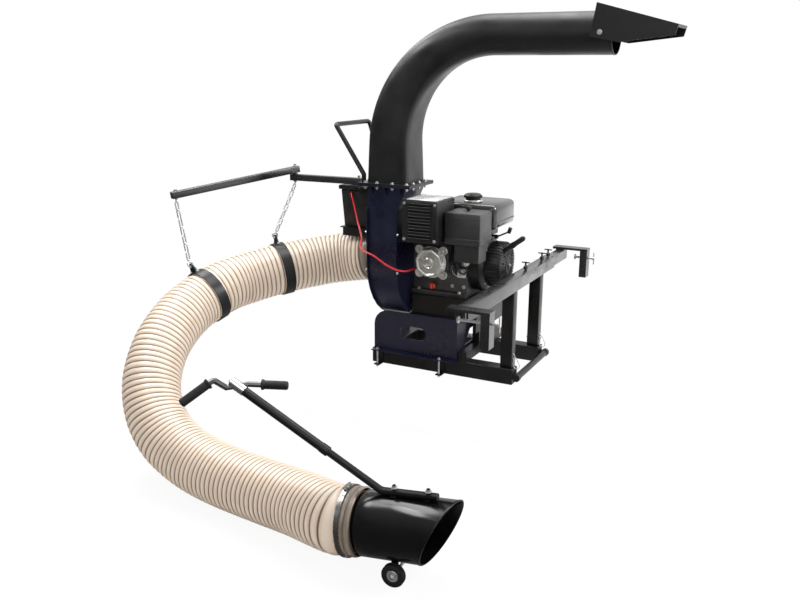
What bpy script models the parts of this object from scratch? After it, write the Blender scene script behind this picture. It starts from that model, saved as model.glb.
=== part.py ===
"""Leaf vacuum that hangs on a trailer: skid frame, fan, engine, chute, boom, suction hose and nozzle.

Metres, +Z up. The origin is the middle of the front rail's underside, +X runs along the crankshaft
towards the recoil starter, and +Y runs back along the hitch beam.
"""

import math

import bmesh
import bpy
from mathutils import Matrix, Vector

X, Y, Z = Vector((1, 0, 0)), Vector((0, 1, 0)), Vector((0, 0, 1))
GAP = 0.0003            # left between pieces that seat on each other

# Skid frame
FRAME_LENGTH = 0.650
FRAME_DEPTH = 0.390
RAIL = 0.060            # width of the frame's rails
RAIL_HEIGHT = 0.066
END_BAR_RADIUS = 0.0135
END_CAP_RADIUS = 0.0165
END_CAP_LENGTH = 0.020
POST_WIDTH = 0.050
POST_DEPTH = 0.042
POST_INSET = 0.009      # from the frame's right end to the posts
POST_HEIGHT = 0.320

# Hitch beam and its hooks
BEAM_HEIGHT = 0.052
BEAM_WALL = 0.004
BEAM_FRONT = 0.490      # how far the beam reaches in front of the origin
BEAM_BACK = 0.512
HOOK_TUBE_CLEARANCE = 0.0006
NEAR_TUBE_BACK = 0.170
FAR_TUBE_FRONT = 0.340
NEAR_BAR_Y = -0.525
FAR_BAR_Y = 0.695
HOOK_BAR_WIDTH = 0.050
HOOK_BAR_THICKNESS = 0.010
HOOK_BAR_LEFT = 0.256
HOOK_BAR_RIGHT = 0.420
HOOK_LEG_WIDTH = 0.034
HOOK_LEG_LENGTH = 0.125
CLAMP_ROD_RADIUS = 0.005
CLAMP_ROD_LENGTH = 0.160  # of the near screw; the far one is shorter by their reaches
CLAMP_ROD_DROP = 0.034   # below the hook bar's top
CLAMP_PAD_RADIUS = 0.013
NEAR_CLAMP_REACH = 0.095  # from the leg's inner face to the pad
FAR_CLAMP_REACH = 0.030
BEAM_SCREW_PLACES = (0.185, 0.400, 0.487)
SCREW_RADIUS = 0.004
SCREW_KNOB_RADIUS = 0.009
SCREW_BAR_LENGTH = 0.034

# Fan
SHAFT_Y = 0.140
SHAFT_Z = 0.460
HOUSING_LEFT = -0.290
HOUSING_WIDTH = 0.140
HOUSING_WALL = 0.004
SCROLL_LARGEST = 0.270
SCROLL_SMALLEST = 0.200
SCROLL_TURN = 290       # degrees from the front tangent back round to the tongue
SCROLL_STEPS = 26
RIM_OVERHANG = 0.012
OUTLET_DEPTH = 0.170
OUTLET_TOP = 0.700
NECK_TOP = 0.790
FLANGE_THICKNESS = 0.008
FLANGE_OVERHANG = 0.026
INTAKE_HOLE = 0.112
INTAKE_PLATE_RADIUS = 0.160
INTAKE_PLATE = 0.005
SHAFT_HOLE = 0.030
IMPELLER_RADIUS = 0.182
IMPELLER_BLADES = 6
IMPELLER_DEPTH = 0.100
SHAFT_RADIUS = 0.0125

# Stand, chassis and deck
STAND_LEFT = -0.309
STAND_RIGHT = 0.082
STAND_FRONT = -0.040
STAND_BACK = 0.300
STAND_TOP = 0.245
STAND_SHEET = 0.004
STAND_CORNER = 0.065
STAND_FLANGE = 0.032
HAND_HOLE_LENGTH = 0.122
HAND_HOLE_HEIGHT = 0.056
HAND_HOLE_X = -0.122
HAND_HOLE_Z = 0.160
CHASSIS_RAIL_WIDTH = 0.040
DECK_LEFT = -0.138
DECK_RIGHT = 0.158
DECK_FRONT = -0.020
DECK_BACK = 0.300
DECK_TOP = 0.328
DECK_SHEET = 0.006
DECK_FLANGE_BOTTOM = 0.195
DECK_LEG_PLACES = (0.120, 0.255)
DECK_LEG = 0.030

# Chute and hood
CHUTE_LEFT = -0.295
CHUTE_BASE_WIDTH = 0.183
CHUTE_END_SIZE = 0.150
CHUTE_WALL = 0.003
CHUTE_BEND_RADIUS = 0.415
CHUTE_BEND_START = 0.960
CHUTE_END_X = 0.665
CHUTE_RINGS = 12
CHUTE_SIDES = 20
HOOD_PIVOT_X = CHUTE_END_X - 0.040
HOOD_PIVOT_Z = CHUTE_BEND_START + CHUTE_BEND_RADIUS
HOOD_SHEET = 0.003
HOOD_LENGTH = 0.262
HOOD_REAR = 0.016
HOOD_REAR_RISE = 0.098
HOOD_TIP_RISE = 0.022
PIVOT_BOLT_RADIUS = 0.006

# Lift handle
LIFT_TUBE = 0.010
LIFT_FRONT_Y = -0.125
LIFT_BACK_Y = 0.045
LIFT_FOOT_X = -0.309
LIFT_TOP_X = -0.440
LIFT_TOP_Z = 1.030
LIFT_TOP_BACK_Y = 0.155

# Boom
BOOM_TUBE = 0.028
BOOM_BASE = Vector((-0.430, 0.045, 0.766))
BOOM_ELBOW = Vector((-0.750, 0.030, 0))
BOOM_TIP = Vector((-1.009, -0.464, 0))
BOOM_DROOP = 0.070
BOOM_WASHER = 0.004
BOOM_PIN_RADIUS = 0.006
BOOM_BRACKET_WIDTH = 0.050
BOOM_BRACKET_THICKNESS = 0.007
CHAIN_WIRE = 0.0030
CHAIN_LINK_LENGTH = 0.041
CHAIN_LINK_WIDTH = 0.021

# Hose
HOSE_CREST = 0.1120
HOSE_VALLEY = 0.1060
HOSE_BORE = 0.0975
HOSE_RIBS = 118
HOSE_BORE_POINTS = 80
COLLAR_RADIUS = 0.0915
COLLAR_WALL = 0.003
COLLAR_LENGTH = 0.098
COLLAR_SLOPE = 9.5      # degrees down from the crankshaft's line
HOSE_START = 0.045      # from the intake plate along the collar
HOSE_ROUTE = (          # centre line between the collar and the nozzle, by hand
    (-0.555, 0.115, 0.418), (-0.655, 0.045, 0.402), (-0.757, -0.085, 0.384),
    (-0.847, -0.217, 0.357), (-0.890, -0.324, 0.338), (-0.928, -0.462, 0.294),
    (-0.932, -0.584, 0.244), (-0.917, -0.701, 0.176), (-0.887, -0.790, 0.099),
    (-0.850, -0.845, 0.032), (-0.797, -0.886, -0.035), (-0.723, -0.914, -0.095),
    (-0.628, -0.930, -0.138), (-0.520, -0.945, -0.162), (-0.383, -0.964, -0.170),
    (-0.218, -0.988, -0.168), (-0.060, -1.017, -0.160),
)
CLAMP_BAND = 0.002
CLAMP_WIDTH = 0.016
SADDLE_BAND = 0.004
SADDLE_WIDTH = 0.045
SADDLE_LUG = 0.030
SADDLE_INNER = (-0.757, -0.085, 0.384)
SADDLE_OUTER = (-0.915, -0.405, 0.315)
INNER_LEAN = 8          # degrees that each lug leans outwards round the hose
OUTER_LEAN = 22
SHACKLE_RADIUS = 0.011
SHACKLE_WIRE = 0.0035

# Nozzle and its handle
GROUND = -0.285
NOZZLE_START = Vector((0.213, -1.060, -0.137))
NOZZLE_YAW = 4
NOZZLE_PITCH = 5
NOZZLE_RADIUS = 0.104
NECK_RADIUS = 0.0915
NECK_FLARE = 0.012
NOZZLE_WALL = 0.003
NOZZLE_TUCK = 0.048     # length of the nozzle inside the hose
NOZZLE_TOP_LENGTH = 0.318
NOZZLE_BOTTOM_LENGTH = 0.212
MOUTH_TURN = -22.5        # degrees that the mouth's long side lies behind the top
WHEEL_RADIUS = 0.0380
WHEEL_WIDTH = 0.024
WHEEL_ALONG = 0.126     # from the nozzle's start to the axle
WHEEL_TRACK = 0.152
AXLE_RADIUS = 0.005
POLE_RADIUS = 0.0125
POLE_SLEEVE_RADIUS = 0.0150
POLE_SLEEVE_BORE = 0.0132
POLE_CLAMP_START = 0.072
POLE_CLAMP_END = 0.260
POLE_TOP = Vector((-0.195, -1.110, 0.248))
POLE_OVERLAP = 0.150
POLE_SLEEVE_START = 0.205
BAR_RADIUS = 0.010
BAR_LEFT = Vector((-0.326, -1.260, 0.235))
BAR_RIGHT = Vector((-0.082, -1.035, 0.262))
BAR_RISE = 0.040
GRIP_RADIUS = 0.0155
GRIP_LENGTH = 0.115

# Battery
BATTERY_LOW = Vector((-0.525, 0.050, 0.575))
BATTERY_SIZE = Vector((0.160, 0.135, 0.165))
BATTERY_TAPER = 0.010
LID_HEIGHT = 0.018
LID_OVERHANG = 0.008
SHELF_SHEET = 0.004
SHELF_WEB = 0.040       # height of the web that is bolted to the scroll
SHELF_APRON = 0.038     # from the box's foot down to the front edge's fold
CABLE_RADIUS = 0.004
CABLE_ROUTE = (
    (-0.463, 0.0498, 0.728), (-0.463, 0.034, 0.728), (-0.452, 0.022, 0.712), (-0.435, 0.010, 0.680),
    (-0.400, -0.020, 0.612), (-0.362, -0.058, 0.566), (-0.342, -0.095, 0.545),
    (-0.322, -0.135, 0.532), (-0.290, -0.163, 0.524), (-0.240, -0.172, 0.511),
    (-0.177, -0.178, 0.480), (-0.133, -0.166, 0.461), (-0.111, -0.135, 0.453),
    (-0.107, -0.095, 0.451), (-0.107, -0.040, 0.450), (-0.107, 0.0194, 0.450),
)

# Engine
CASE_RIGHT = 0.095
CASE_FRONT = 0.020
CASE_BACK = 0.270
CASE_TOP = 0.570
CYLINDER_LEFT = -0.088
CYLINDER_RIGHT = 0.052
CYLINDER_LOW = 0.430
CYLINDER_HIGH = 0.555
CYLINDER_FRONT = -0.085
FIN_COUNT = 5
FIN_THICKNESS = 0.004
COVER_DEPTH = 0.036
COVER_SIZE = 0.150
MUFFLER_LOW = Vector((-0.124, -0.150, 0.572))
MUFFLER_HIGH = Vector((0.034, 0.025, 0.748))
GUARD_SHEET = 0.002
GUARD_SLOTS = 6
CLEANER_LOW = Vector((0.040, -0.100, 0.572))
CLEANER_HIGH = Vector((0.196, 0.030, 0.704))
CLEANER_DUCT_HEIGHT = 0.070
TANK_LOW = Vector((-0.060, 0.034, 0.618))
TANK_HIGH = Vector((0.206, 0.270, 0.722))
TANK_EDGE = 0.022
CAP_RADIUS = 0.037
CAP_HEIGHT = 0.028
CAP_X = 0.072
CAP_Y = 0.120
RECOIL_SHROUD_RADIUS = 0.118
RECOIL_RADIUS = 0.096
RECOIL_STEP = 0.155
RECOIL_FACE = 0.232
LOUVRES = 12
THROTTLE_PIVOT = Vector((0.172, 0.150, 0.574))
THROTTLE_HUB = 0.012    # from the pivot back to its boss


def clear_scene():
    for leftover in list(bpy.data.objects):
        bpy.data.objects.remove(leftover, do_unlink=True)


clear_scene()
PARTS = bpy.data.collections.new("leaf_vacuum")
CUTTERS = bpy.data.collections.new("cutters")
for new_collection in (PARTS, CUTTERS):
    bpy.context.scene.collection.children.link(new_collection)
CUTTERS.hide_render = True


def material(name, colour, roughness, metallic=0.0):
    made = bpy.data.materials.new(name)
    made.use_nodes = True
    shader = made.node_tree.nodes["Principled BSDF"]
    shader.inputs["Base Color"].default_value = (*colour, 1)
    shader.inputs["Roughness"].default_value = roughness
    shader.inputs["Metallic"].default_value = metallic
    return made


BLACK = material("black powder coat", (0.012, 0.012, 0.013), 0.45)
NAVY = material("navy powder coat", (0.010, 0.013, 0.045), 0.40)
CHARCOAL = material("charcoal plastic", (0.030, 0.030, 0.032), 0.50)
ALUMINIUM = material("cast aluminium", (0.55, 0.54, 0.50), 0.40, 1.0)
STEEL = material("galvanised steel", (0.62, 0.62, 0.62), 0.32, 1.0)
CHROME = material("chrome", (0.75, 0.75, 0.76), 0.12, 1.0)
GLOSS_BLACK = material("gloss black", (0.008, 0.008, 0.009), 0.15)
RUBBER = material("black rubber", (0.018, 0.018, 0.018), 0.75)
HOSE_CREAM = material("cream hose", (0.72, 0.56, 0.42), 0.35)
RED = material("red insulation", (0.55, 0.015, 0.012), 0.35)


def place(name, mesh, finish, matrix=None):
    piece = bpy.data.objects.new(name, mesh)
    mesh.materials.append(finish)
    if matrix is not None:
        piece.matrix_world = matrix
    PARTS.objects.link(piece)
    return piece


def from_bmesh(name, shape, finish, matrix=None):
    bmesh.ops.recalc_face_normals(shape, faces=shape.faces[:])
    mesh = bpy.data.meshes.new(name)
    shape.to_mesh(mesh)
    shape.free()
    return place(name, mesh, finish, matrix)


def smooth(piece, angle=35):
    piece.data.shade_smooth()
    piece.data.set_sharp_from_angle(angle=math.radians(angle))
    return piece


def aim(start, direction, side=X):
    """A frame at start whose Z runs along direction and whose X leans towards side."""
    along = Vector(direction).normalized()
    if abs(along.dot(side)) > 0.95:
        side = Z if abs(along.z) < 0.95 else Y
    across = (side - along * side.dot(along)).normalized()
    up = along.cross(across)
    turn = Matrix((across, up, along)).transposed().to_4x4()
    return Matrix.Translation(start) @ turn


def box(name, low, high, finish, bevel=0.0, matrix=None):
    low, high = Vector(low), Vector(high)
    shape = bmesh.new()
    bmesh.ops.create_cube(shape, size=1.0)
    bmesh.ops.scale(shape, vec=high - low, verts=shape.verts)
    bmesh.ops.translate(shape, vec=(low + high) / 2, verts=shape.verts)
    piece = from_bmesh(name, shape, finish, matrix)
    if bevel:
        edge = piece.modifiers.new("Edges", "BEVEL")
        edge.width = bevel
        edge.segments = 2
        smooth(piece)
    return piece


def rod(name, start, end, radius, finish, sides=16, end_radius=None, side=X):
    start, end = Vector(start), Vector(end)
    shape = bmesh.new()
    last = radius if end_radius is None else end_radius
    length = (end - start).length
    bmesh.ops.create_cone(
        shape, cap_ends=True, segments=sides, radius1=radius, radius2=last, depth=length
    )
    bmesh.ops.translate(shape, vec=(0, 0, length / 2), verts=shape.verts)
    return smooth(from_bmesh(name, shape, finish, aim(start, end - start, side)))


def turned(name, profile, start, direction, finish, steps=24):
    """A profile of (radius, height) pairs, down the outer side, turned round direction."""
    shape = bmesh.new()
    points = [shape.verts.new((radius, 0, height)) for radius, height in profile]
    closed = all(radius > 0 for radius, _ in profile)
    pairs = zip(points, points[1:] + points[:1]) if closed else zip(points, points[1:])
    for first, second in pairs:
        shape.edges.new((first, second))
    mesh = bpy.data.meshes.new(name)
    shape.to_mesh(mesh)
    shape.free()
    piece = place(name, mesh, finish, aim(start, direction, Z))
    turn = piece.modifiers.new("Turn", "SCREW")
    turn.steps = turn.render_steps = steps
    turn.use_merge_vertices = True
    turn.merge_threshold = 0.00001
    return piece


def tube(name, points, radius, finish, resolution=2):
    path = bpy.data.curves.new(name, "CURVE")
    path.dimensions = "3D"
    path.bevel_depth = radius
    path.bevel_resolution = resolution
    path.use_fill_caps = True
    line = path.splines.new("POLY")
    line.points.add(len(points) - 1)
    for target, point in zip(line.points, points):
        target.co = (*point, 1)
    return place(name, path, finish)


def plate(name, outline, thickness, finish, matrix, holes=()):
    """A flat outline with its holes, of the given thickness upwards from the matrix's XY plane."""
    flat = bpy.data.curves.new(name, "CURVE")
    flat.dimensions = "2D"
    flat.fill_mode = "BOTH"
    flat.extrude = thickness / 2
    for loop in (outline, *holes):
        line = flat.splines.new("POLY")
        line.points.add(len(loop) - 1)
        for target, point in zip(line.points, loop):
            target.co = (point[0], point[1], 0, 1)
        line.use_cyclic_u = True
    return place(name, flat, finish, matrix @ Matrix.Translation((0, 0, thickness / 2)))


def as_mesh(piece):
    """The curve as a mesh with its caps welded, so that it can be cut and joined."""
    bpy.context.view_layer.update()
    graph = bpy.context.evaluated_depsgraph_get()
    mesh = bpy.data.meshes.new_from_object(piece.evaluated_get(graph))
    shape = bmesh.new()
    shape.from_mesh(mesh)
    bmesh.ops.remove_doubles(shape, verts=shape.verts, dist=0.000002)
    bmesh.ops.recalc_face_normals(shape, faces=shape.faces[:])
    shape.to_mesh(mesh)
    shape.free()
    name, matrix = piece.name, piece.matrix_world.copy()
    bpy.data.objects.remove(piece, do_unlink=True)
    solid = bpy.data.objects.new(name, mesh)
    solid.matrix_world = matrix
    PARTS.objects.link(solid)
    return solid


def combine(target, other, operation):
    PARTS.objects.unlink(other)
    CUTTERS.objects.link(other)
    other.hide_render = True
    other.display_type = "WIRE"
    change = target.modifiers.new(operation.title(), "BOOLEAN")
    change.operation = operation
    change.solver = "EXACT"
    change.object = other
    return target


def cut(target, *cutters):
    for cutter in cutters:
        combine(target, cutter, "DIFFERENCE")
    return target


def join(target, *others):
    for other in others:
        combine(target, other, "UNION")
    return target


def skin(name, rings, finish, closed=False):
    """Faces between rings of equal count, round in a ring when closed, else capped at both ends."""
    shape = bmesh.new()
    rows = [[shape.verts.new(point) for point in ring] for ring in rings]
    pairs = zip(rows, rows[1:] + rows[:1]) if closed else zip(rows, rows[1:])
    for lower, upper in pairs:
        for index in range(len(lower)):
            after = (index + 1) % len(lower)
            shape.faces.new((lower[index], lower[after], upper[after], upper[index]))
    if not closed:
        shape.faces.new(rows[0])
        shape.faces.new(rows[-1])
    return smooth(from_bmesh(name, shape, finish))


def arc(centre, radius, first, last, steps):
    """Points of a plane arc, in degrees from the first axis towards the second."""
    angles = [math.radians(first + (last - first) * step / steps) for step in range(steps + 1)]
    return [(centre[0] + radius * math.cos(a), centre[1] + radius * math.sin(a)) for a in angles]


def filleted(points, radius, steps=5):
    """A path of straight runs with its corners rounded."""
    points = [Vector(point) for point in points]
    path = [points[0]]
    for before, corner, after in zip(points, points[1:], points[2:]):
        back, ahead = (before - corner).normalized(), (after - corner).normalized()
        half = back.angle(ahead) / 2
        reach = radius / math.tan(half)
        first, last = corner + back * reach, corner + ahead * reach
        for step in range(steps + 1):
            share = step / steps
            path.append(first.lerp(corner, share).lerp(corner.lerp(last, share), share))
    return path + [points[-1]]


def smooth_route(points, count):
    """Points at equal steps along the smooth curve through the given ones."""
    points = [Vector(point) for point in points]
    ends = [points[0] * 2 - points[1], *points, points[-1] * 2 - points[-2]]
    fine = []
    for before, start, end, after in zip(ends, ends[1:], ends[2:], ends[3:]):
        for step in range(24):
            t = step / 24
            bend = 2 * before - 5 * start + 4 * end - after
            twist = 3 * start - before - 3 * end + after
            fine.append((2 * start + (end - before) * t + bend * t * t + twist * t ** 3) / 2)
    fine.append(points[-1])
    lengths = [0.0]
    for first, second in zip(fine, fine[1:]):
        lengths.append(lengths[-1] + (second - first).length)
    route, place_at = [], 0
    for step in range(count):
        target = lengths[-1] * step / (count - 1)
        while place_at < len(fine) - 2 and lengths[place_at + 1] < target:
            place_at += 1
        span = lengths[place_at + 1] - lengths[place_at]
        share = (target - lengths[place_at]) / span if span else 0.0
        route.append(fine[place_at].lerp(fine[place_at + 1], share))
    return route


# Planes for outlines: the first two axes of each are the outline's own
SIDE_PLANE = Matrix(((0, 0, 1, 0), (1, 0, 0, 0), (0, 1, 0, 0), (0, 0, 0, 1)))
FRONT_PLANE = Matrix(((1, 0, 0, 0), (0, 0, -1, 0), (0, 1, 0, 0), (0, 0, 0, 1)))

FRAME_LEFT = -FRAME_LENGTH / 2
FRAME_RIGHT = FRAME_LENGTH / 2
FRAME_FRONT = -RAIL / 2
FRAME_BACK = FRAME_FRONT + FRAME_DEPTH
POST_RIGHT = FRAME_RIGHT - POST_INSET
POST_LEFT = POST_RIGHT - POST_WIDTH
FRONT_POST_Y = FRAME_FRONT + RAIL / 2 + 0.005
REAR_POST_Y = FRAME_BACK - POST_DEPTH / 2 - 0.002
BEAM_LOW = RAIL_HEIGHT + POST_HEIGHT
BEAM_TOP = BEAM_LOW + BEAM_HEIGHT
BEAM_X = (POST_LEFT + POST_RIGHT) / 2
FLANGE_TOP = NECK_TOP + FLANGE_THICKNESS
CHUTE_Z = FLANGE_TOP + GAP
HOUSING_RIGHT = HOUSING_LEFT + HOUSING_WIDTH
OUTLET_FRONT = SHAFT_Y - SCROLL_LARGEST
OUTLET_BACK = OUTLET_FRONT + OUTLET_DEPTH
CHUTE_Y = (OUTLET_FRONT + OUTLET_BACK) / 2
CHUTE_RIGHT = CHUTE_LEFT + CHUTE_BASE_WIDTH


def base_frame():
    """Three welded rails: front, rear and left."""
    frame = box(
        "base_frame", (FRAME_LEFT, FRAME_FRONT, 0), (FRAME_RIGHT, FRAME_BACK, RAIL_HEIGHT), BLACK
    )
    bay = box(
        "frame_bay",
        (FRAME_LEFT + RAIL, FRAME_FRONT + RAIL, -RAIL),
        (FRAME_RIGHT + RAIL, FRAME_BACK - RAIL, RAIL_HEIGHT * 2),
        BLACK,
    )
    cut(frame, bay)
    edge = frame.modifiers.new("Edges", "BEVEL")
    edge.width = 0.002
    edge.limit_method = "ANGLE"


def end_bar():
    """Round bar with a cap against each rail's end."""
    half = FRAME_DEPTH / 2
    profile = [
        (0, half), (END_CAP_RADIUS, half), (END_CAP_RADIUS, half - END_CAP_LENGTH),
        (END_BAR_RADIUS, half - END_CAP_LENGTH), (END_BAR_RADIUS, END_CAP_LENGTH - half),
        (END_CAP_RADIUS, END_CAP_LENGTH - half), (END_CAP_RADIUS, -half), (0, -half),
    ]
    centre = (FRAME_RIGHT + GAP + END_CAP_RADIUS, FRAME_FRONT + half, RAIL_HEIGHT / 2)
    turned("end_bar", profile, centre, Y, BLACK, 16)


def posts():
    for name, middle in (("front_post", FRONT_POST_Y), ("rear_post", REAR_POST_Y)):
        low = (POST_LEFT, middle - POST_DEPTH / 2, RAIL_HEIGHT + GAP)
        high = (POST_RIGHT, middle + POST_DEPTH / 2, BEAM_LOW - GAP)
        box(name, low, high, BLACK, 0.002)


def hitch_beam():
    """Square tube, open at both ends for the hooks' inner tubes."""
    low = (POST_LEFT, -BEAM_FRONT, BEAM_LOW)
    beam = box("hitch_beam", low, (POST_RIGHT, BEAM_BACK, BEAM_TOP), BLACK, 0.0015)
    bore = box(
        "beam_bore",
        (POST_LEFT + BEAM_WALL, -BEAM_FRONT - 0.1, BEAM_LOW + BEAM_WALL),
        (POST_RIGHT - BEAM_WALL, BEAM_BACK + 0.1, BEAM_TOP - BEAM_WALL),
        BLACK,
    )
    cut(beam, bore)


def hook(name, bar_y, tube_front, tube_back, reach):
    """Inner tube, flat cross bar on its end and a leg that hangs behind the trailer's board."""
    slack = BEAM_WALL + HOOK_TUBE_CLEARANCE
    tube_top = BEAM_TOP - slack
    bar_low = BEAM_TOP + GAP
    hook_tube = box(
        name,
        (POST_LEFT + slack, tube_front, BEAM_LOW + slack),
        (POST_RIGHT - slack, tube_back, tube_top),
        BLACK,
    )
    edge = 0.0005
    outer_end = tube_front if bar_y < 0 else tube_back
    beam_end = -BEAM_FRONT - edge if bar_y < 0 else FAR_BAR_Y - HOOK_BAR_WIDTH / 2 + edge
    web = box(
        name + "_web",
        (POST_LEFT + slack + edge, min(outer_end, beam_end) + edge, BEAM_LOW + slack + edge),
        (POST_RIGHT - slack - edge, max(outer_end, beam_end) - edge, bar_low + HOOK_BAR_THICKNESS / 2),
        BLACK,
    )
    bar = box(
        name + "_bar",
        (HOOK_BAR_LEFT, bar_y - HOOK_BAR_WIDTH / 2, bar_low),
        (HOOK_BAR_RIGHT, bar_y + HOOK_BAR_WIDTH / 2, bar_low + HOOK_BAR_THICKNESS),
        BLACK,
    )
    leg_left = HOOK_BAR_RIGHT - HOOK_LEG_WIDTH
    leg = box(
        name + "_leg",
        (leg_left, bar_y - HOOK_BAR_WIDTH / 2 + 0.001, bar_low + 0.002 - HOOK_LEG_LENGTH),
        (HOOK_BAR_RIGHT - 0.001, bar_y + HOOK_BAR_WIDTH / 2 - 0.001, bar_low + 0.004),
        BLACK,
    )
    join(hook_tube, web, bar, leg)
    rod_z = bar_low - CLAMP_ROD_DROP
    bore = rod(
        name + "_bore", (leg_left - 0.01, bar_y, rod_z), (HOOK_BAR_RIGHT + 0.01, bar_y, rod_z),
        CLAMP_ROD_RADIUS + 2 * GAP, BLACK, 12,
    )
    cut(hook_tube, bore)
    clamp_screw(name.replace("hook", "clamp_screw"), leg_left - reach, bar_y, rod_z)


def clamp_screw(name, pad, bar_y, height):
    """Threaded rod through the leg, with a pressure pad inside and a turning bar outside."""
    outside = HOOK_BAR_RIGHT - HOOK_LEG_WIDTH - NEAR_CLAMP_REACH + CLAMP_ROD_LENGTH
    profile = [
        (0, outside - pad), (CLAMP_ROD_RADIUS * 1.6, outside - pad),
        (CLAMP_ROD_RADIUS * 1.6, outside - pad - 0.012), (CLAMP_ROD_RADIUS, outside - pad - 0.012),
        (CLAMP_ROD_RADIUS, 0.008), (CLAMP_PAD_RADIUS, 0.005), (CLAMP_PAD_RADIUS, 0), (0, 0),
    ]
    turned(name, profile, (pad, bar_y, height), X, STEEL, 12)


def beam_screws():
    """T-screws on top of the beam that lock the inner tubes."""
    for number, along in enumerate(BEAM_SCREW_PLACES, 1):
        foot = BEAM_TOP + GAP
        profile = [
            (0, 0.034), (SCREW_RADIUS, 0.034), (SCREW_RADIUS, 0.018),
            (SCREW_KNOB_RADIUS, 0.015), (SCREW_KNOB_RADIUS, 0.004), (SCREW_RADIUS, 0), (0, 0),
        ]
        name = f"beam_screw_{number}"
        screw = turned(name, profile, (BEAM_X, along, foot), Z, BLACK, 12)
        half = SCREW_BAR_LENGTH / 2
        bar = rod(
            name + "_bar", (BEAM_X - half, along, foot + 0.031), (BEAM_X + half, along, foot + 0.031),
            0.0028, STEEL, 8,
        )
        join(screw, bar)


def fan_stand():
    """Folded sheet: front with a hand hole, two sides, a top with a slot for the scroll, clamp flange."""
    def shell(name, inset, low, back):
        left, right, top = STAND_LEFT + inset, STAND_RIGHT - inset, STAND_TOP - inset
        corner = STAND_CORNER - inset
        outline = [(left, low), (right, low), (right, top)]
        outline += arc((left + corner, top - corner), corner, 90, 180, 5)
        front = STAND_FRONT + inset
        return as_mesh(plate(
            name, outline, back - front, NAVY, Matrix.Translation((0, back, 0)) @ FRONT_PLANE
        ))

    seat = RAIL_HEIGHT + GAP
    stand = shell("fan_stand", 0, seat, STAND_BACK)
    hollow = shell("stand_hollow", STAND_SHEET, seat - 0.05, STAND_BACK + 0.05)
    slot = box(
        "stand_slot",
        (HOUSING_LEFT - 0.006, STAND_FRONT + STAND_SHEET, STAND_TOP - 0.10),
        (HOUSING_RIGHT + 0.006, STAND_BACK + 0.1, STAND_TOP + 0.05),
        NAVY,
    )
    end = HAND_HOLE_HEIGHT / 2
    reach = HAND_HOLE_LENGTH / 2 - end
    oval = arc((HAND_HOLE_X + reach, HAND_HOLE_Z), end, -90, 90, 8)
    oval += arc((HAND_HOLE_X - reach, HAND_HOLE_Z), end, 90, 270, 8)
    opening = Matrix.Translation((0, STAND_FRONT + 0.03, 0)) @ FRONT_PLANE
    hand_hole = as_mesh(plate("stand_hand_hole", oval, 0.06, NAVY, opening))
    window = as_mesh(plate(
        "stand_window",
        [(0.04, 0.115), (0.16, 0.115), (0.16, 0.175), (0.10, 0.175)],
        0.03, NAVY, Matrix.Translation((STAND_RIGHT - 0.015, 0, 0)) @ SIDE_PLANE,
    ))
    cut(stand, hollow, slot, hand_hole, window)
    flange = box(
        "stand_flange",
        (STAND_LEFT, STAND_FRONT - STAND_FLANGE, seat),
        (STAND_RIGHT, STAND_FRONT + STAND_SHEET / 2, seat + STAND_SHEET),
        NAVY,
    )
    join(stand, flange)


def chassis_rail():
    """Long rail beside the stand, with the two legs that carry the deck."""
    left = STAND_RIGHT + GAP
    rail_top = RAIL_HEIGHT + GAP + CHASSIS_RAIL_WIDTH
    rail = box(
        "chassis_rail", (left, FRAME_FRONT, RAIL_HEIGHT + GAP),
        (left + CHASSIS_RAIL_WIDTH, FRAME_BACK + 0.06, rail_top), BLACK,
    )
    for number, along in enumerate(DECK_LEG_PLACES):
        leg = box(
            f"deck_leg_{number}",
            (left + 0.004, along, rail_top - 0.005),
            (left + 0.004 + DECK_LEG, along + DECK_LEG, DECK_TOP - DECK_SHEET - GAP),
            BLACK,
        )
        join(rail, leg)


def engine_deck():
    """Inverted channel: top plate, deep right flange, left flange that stands on the stand."""
    deck = box(
        "engine_deck", (DECK_LEFT, DECK_FRONT, DECK_TOP - DECK_SHEET),
        (DECK_RIGHT, DECK_BACK, DECK_TOP), BLACK,
    )
    right = box(
        "deck_right_flange", (DECK_RIGHT - DECK_SHEET, DECK_FRONT, DECK_FLANGE_BOTTOM),
        (DECK_RIGHT, DECK_BACK, DECK_TOP - DECK_SHEET / 2), BLACK,
    )
    left = box(
        "deck_left_flange", (DECK_LEFT, DECK_FRONT, STAND_TOP + GAP),
        (DECK_LEFT + DECK_SHEET, DECK_BACK - 0.001, DECK_TOP - DECK_SHEET / 2), BLACK,
    )
    front = box(
        "deck_front_flange", (DECK_LEFT + 0.001, DECK_FRONT + 0.001, STAND_TOP + GAP),
        (DECK_RIGHT - 0.001, DECK_FRONT + DECK_SHEET, DECK_TOP - DECK_SHEET / 2), BLACK,
    )
    join(deck, right, left, front)


def scroll_outline(offset, top, bottom_extra=0.0):
    """The scroll seen along the shaft: front wall up to the outlet, spiral, tongue, rear outlet wall."""
    front, back = OUTLET_FRONT - offset, OUTLET_BACK + offset
    outline = [(back, top), (front, top)]
    growth = (SCROLL_LARGEST - SCROLL_SMALLEST) / SCROLL_TURN
    for step in range(SCROLL_STEPS + 1):
        degrees = SCROLL_TURN * step / SCROLL_STEPS
        radius = SCROLL_LARGEST - growth * degrees + offset
        angle = math.radians(180 + degrees)
        along, height = SHAFT_Y + radius * math.cos(angle), SHAFT_Z + radius * math.sin(angle)
        if degrees > 200 and along < back:
            outline.append((back, height + (back - along) * 0.3))
            break
        outline.append((along, height))
    return outline


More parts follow.
